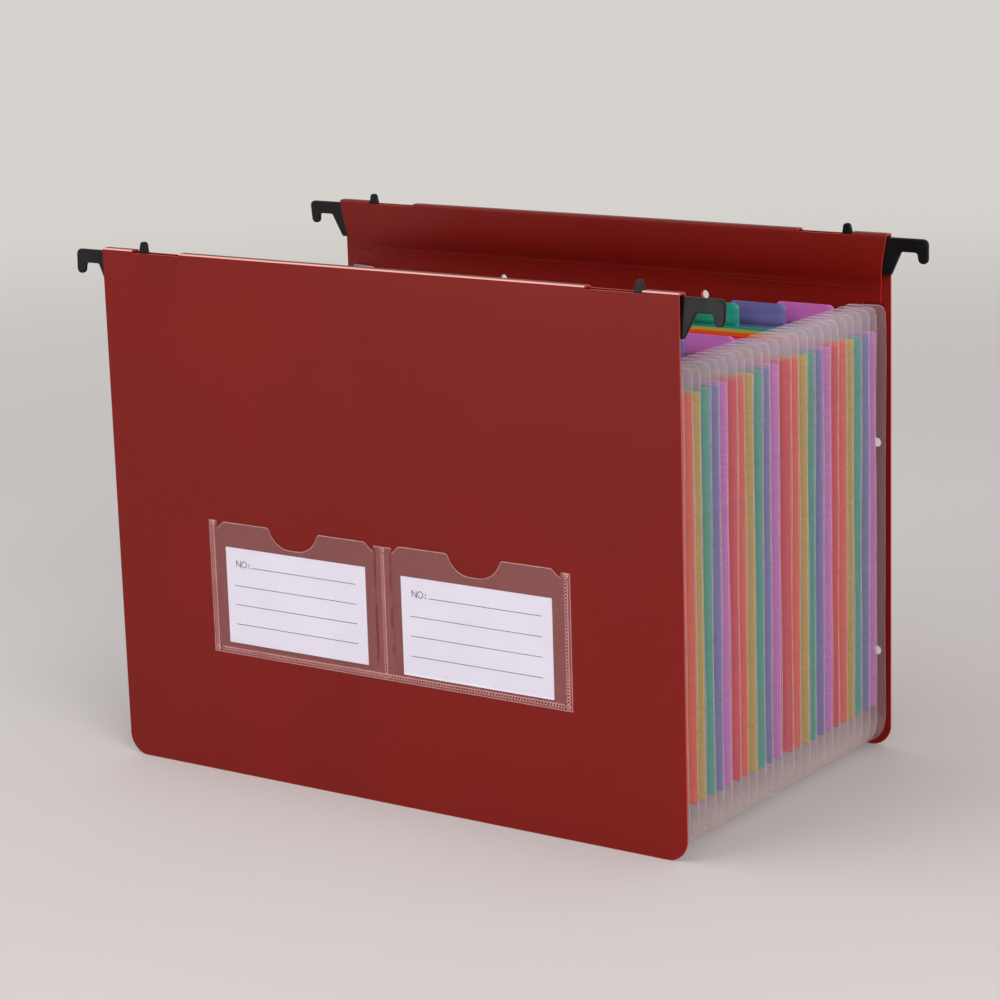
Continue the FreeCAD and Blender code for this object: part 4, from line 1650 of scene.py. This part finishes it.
@dataclass
class Studio:
    """Pale floor that curves up into a backdrop, soft light and the camera."""

    floor: Colour = srgb(223, 217, 216)
    far: Colour = srgb(214, 211, 206)
    cloud: float = 3.0
    shades: tuple[float, float] = (0.99, 1.01)
    roughness: tuple[float, float] = (0.6, 0.7)
    gloss: float = 0.2
    near_end: float = 0.7
    far_start: float = 2.0
    fill: float = 0.6
    floor_half_width: float = 6.0
    floor_front: float = -5.0
    floor_bend: float = 3.2
    floor_radius: float = 0.9
    floor_top: float = 3.4
    lens: float = 108.377
    camera_at: tuple[float, float, float] = (0.77956, -1.11233, 0.43887)
    camera_right: tuple[float, float, float] = (0.822413, 0.56812929, -0.02942724)
    camera_up: tuple[float, float, float] = (-0.10602738, 0.20389357, 0.97323461)
    clear_layers: int = 96

    def floor_material(self) -> bpy.types.Material:
        """The floor's finish. What the camera sees of it goes over to one even tone far from the file,
        also in gloss and through clear plastic, and no light comes from that tone."""
        bench = Bench("studio_floor")
        cloud = bench.noise(self.cloud, detail=2.0)
        dark, light = (tinted(self.floor, shade) for shade in self.shades)
        bench.set(Specular_IOR_Level=self.gloss)
        bench.feed(
            Base_Color=bench.mixed(cloud, dark, light),
            Roughness=bench.between(cloud, *self.roughness),
        )
        nodes, links = bench.nodes, bench.links
        distance = nodes.new("ShaderNodeVectorMath")
        distance.operation = "LENGTH"
        links.new(bench.place, distance.inputs[0])
        away = nodes.new("ShaderNodeMapRange")
        away.interpolation_type = "SMOOTHSTEP"
        away.inputs["From Min"].default_value = self.near_end
        away.inputs["From Max"].default_value = self.far_start
        links.new(distance.outputs["Value"], away.inputs["Value"])
        seen = self.seen_rays(bench)
        share = nodes.new("ShaderNodeMath")
        share.operation = "MULTIPLY"
        links.new(away.outputs["Result"], share.inputs[0])
        links.new(seen, share.inputs[1])
        tone = nodes.new("ShaderNodeEmission")
        tone.inputs["Color"].default_value = self.far
        mixed = nodes.new("ShaderNodeMixShader")
        links.new(share.outputs["Value"], mixed.inputs["Fac"])
        links.new(bench.shader.outputs["BSDF"], mixed.inputs[1])
        links.new(tone.outputs["Emission"], mixed.inputs[2])
        links.new(mixed.outputs["Shader"], bench.output.inputs["Surface"])
        return bench.material

    def seen_rays(self, bench: Bench) -> bpy.types.NodeSocket:
        """1 for rays of the camera and those that gloss and clear plastic pass on, else 0."""
        path = bench.nodes.new("ShaderNodeLightPath")
        total = path.outputs["Is Camera Ray"]
        for name in ("Is Glossy Ray", "Is Transmission Ray"):
            add = bench.nodes.new("ShaderNodeMath")
            add.operation = "ADD"
            add.use_clamp = True
            bench.links.new(total, add.inputs[0])
            bench.links.new(path.outputs[name], add.inputs[1])
            total = add.outputs["Value"]
        return total

    def build_floor(self) -> None:
        """The floor: a sheet swept along a line that is flat and then climbs a quarter circle."""
        a = np.linspace(0, math.pi / 2, 17)
        bend, radius = self.floor_bend, self.floor_radius
        y = np.concatenate([[self.floor_front, 0.0], bend + radius * np.sin(a), [bend + radius]])
        z = np.concatenate([[0.0, 0.0], radius * (1 - np.cos(a)), [self.floor_top]])
        x = np.array([-self.floor_half_width, 0.0, self.floor_half_width])
        points = np.stack(np.broadcast_arrays(x[None], y[:, None], z[:, None]), axis=-1)
        shape = Shape(points.reshape(-1, 3) / MM, grid_faces(len(y), len(x)))
        mesh_piece("studio_floor", shape, [self.floor_material()])

    def build_world(self) -> None:
        """Even soft light from all round."""
        world = bpy.data.worlds.new("studio")
        world.use_nodes = True
        bpy.context.scene.world = world
        background = world.node_tree.nodes["Background"]
        background.inputs["Color"].default_value = (1.0, 1.0, 1.0, 1.0)
        background.inputs["Strength"].default_value = self.fill

    def build_lamps(self) -> None:
        """A key above on the left, a large box in front on the left with a low card below it, and a
        large box on the right that lights the pleats."""
        SoftBox("key", at=(-0.95, -0.45, 1.45), size=(1.0, 0.9), glow=1.2).build()
        SoftBox("front_box", at=(-1.0, -1.9, 1.3), size=(1.4, 1.2), glow=1.8).build()
        SoftBox("front_card", at=(-0.62, -1.45, 0.2), size=(0.26, 0.32), glow=7.0).build()
        SoftBox("right_box", at=(1.9, -1.3, 0.9), size=(1.2, 1.2), glow=6.2).build()

    def build_camera(self) -> None:
        """The camera: a long lens in front on the right, a little above, rolled slightly."""
        right, up = Vector(self.camera_right), Vector(self.camera_up)
        back = right.cross(up)
        data = bpy.data.cameras.new("camera")
        data.sensor_width = 36.0
        data.lens = self.lens
        data.clip_start, data.clip_end = 0.05, 20.0
        camera = bpy.data.objects.new("camera", data)
        axes = Matrix((right, up, back)).transposed().to_4x4()
        camera.matrix_world = Matrix.Translation(self.camera_at) @ axes
        bpy.context.scene.collection.objects.link(camera)
        bpy.context.scene.camera = camera

    def build(self) -> None:
        """Sets up the whole studio."""
        self.build_floor()
        self.build_world()
        self.build_lamps()
        self.build_camera()
        scene = bpy.context.scene
        scene.view_settings.view_transform = "Standard"
        scene.cycles.transparent_max_bounces = self.clear_layers


def main() -> None:
    """Builds the file piece by piece and reports each."""
    logging.basicConfig(level=logging.INFO, format="%(name)s: %(message)s")
    Studio().build()

    red = [
        SheetPlastic().material(),
        # Painted highlight along a crease of the cover.
        SheetPlastic("cover_crease_painted_highlight", srgb(240, 172, 162), roughness=0.3, gloss=0.5).material(),
        # Painted glow on the cut edges of the covers.
        SheetPlastic("cover_edge_painted_glow", srgb(190, 52, 44), roughness=0.35, gloss=0.4).material(),
    ]
    pit = SheetPlastic("cover_weld_pit", srgb(72, 8, 7), gloss=0.05).material()
    for side in Side:
        CoverSheet(side).build(red, pit)

    black = MouldedPlastic().material()
    for side in Side:
        RailHook(side, left=False).build(black)
        RailHook(side, left=True, pushed_in=2.0 if side is Side.FRONT else 0.0).build(black)

    sheets = {}
    for colour in DividerColour:
        # Painted glow: each divider's cut edges are painted half again as light as its sheet and fully
        # opaque.
        painted_edge_glow = tinted(colour.colour, 1.5)
        sheets[colour] = [
            TintedSheet(f"{colour.slot}_sheet", colour.colour).material(),
            CutEdge(f"{colour.slot}_edge", painted_edge_glow, 1.0).material(),
        ]
    for number in range(1, BellowsPleat.count):
        PocketDivider(number).build(sheets)

    bellows = [
        FrostedFilm().material(),
        # Painted highlight on the folds.
        CutEdge("bellows_fold_painted_highlight", srgb(220, 200, 204), 0.15).material(),
        # Painted highlight on the cut tops.
        CutEdge("bellows_cut_painted_highlight", srgb(226, 206, 212), 0.42).material(),
        # Paler, hazier film at the foot: partly its crumpled haze and partly painted light.
        FrostedFilm("bellows_foot_haze_and_painted_light", srgb(224, 206, 204), 0.14).material(),
    ]
    for number in range(1, BellowsPleat.count + 1):
        BellowsPleat(number).build(bellows)

    streak = (900.0, 900.0, 40.0)
    films = [
        FrostedFilm("pocket_film", srgb(200, 186, 186), 0.075, 0.2, streak).material(),
        # Painted glow on the film's edge.
        CutEdge("pocket_edge_painted_glow", srgb(228, 178, 178), 0.45).material(),
        FrostedFilm("pocket_seam", srgb(214, 176, 178), 0.09, 0.25, streak).material(),
    ]
    marks = [
        # Pale rims of the weld marks, and the painted highlight in the middle of each round mark.
        CutEdge("pocket_weld_rim_and_painted_highlight", srgb(240, 164, 162), 0.85).material(),
        SheetPlastic("pocket_weld_pit", srgb(40, 4, 5), gloss=0.05).material(),
    ]
    LabelPocket().build(films, marks)

    paper, ink = CardPaper().material(), PrintInk().material()
    for left in (True, False):
        LabelCard(left).build(paper, ink)


if __name__ == "__main__":
    main()
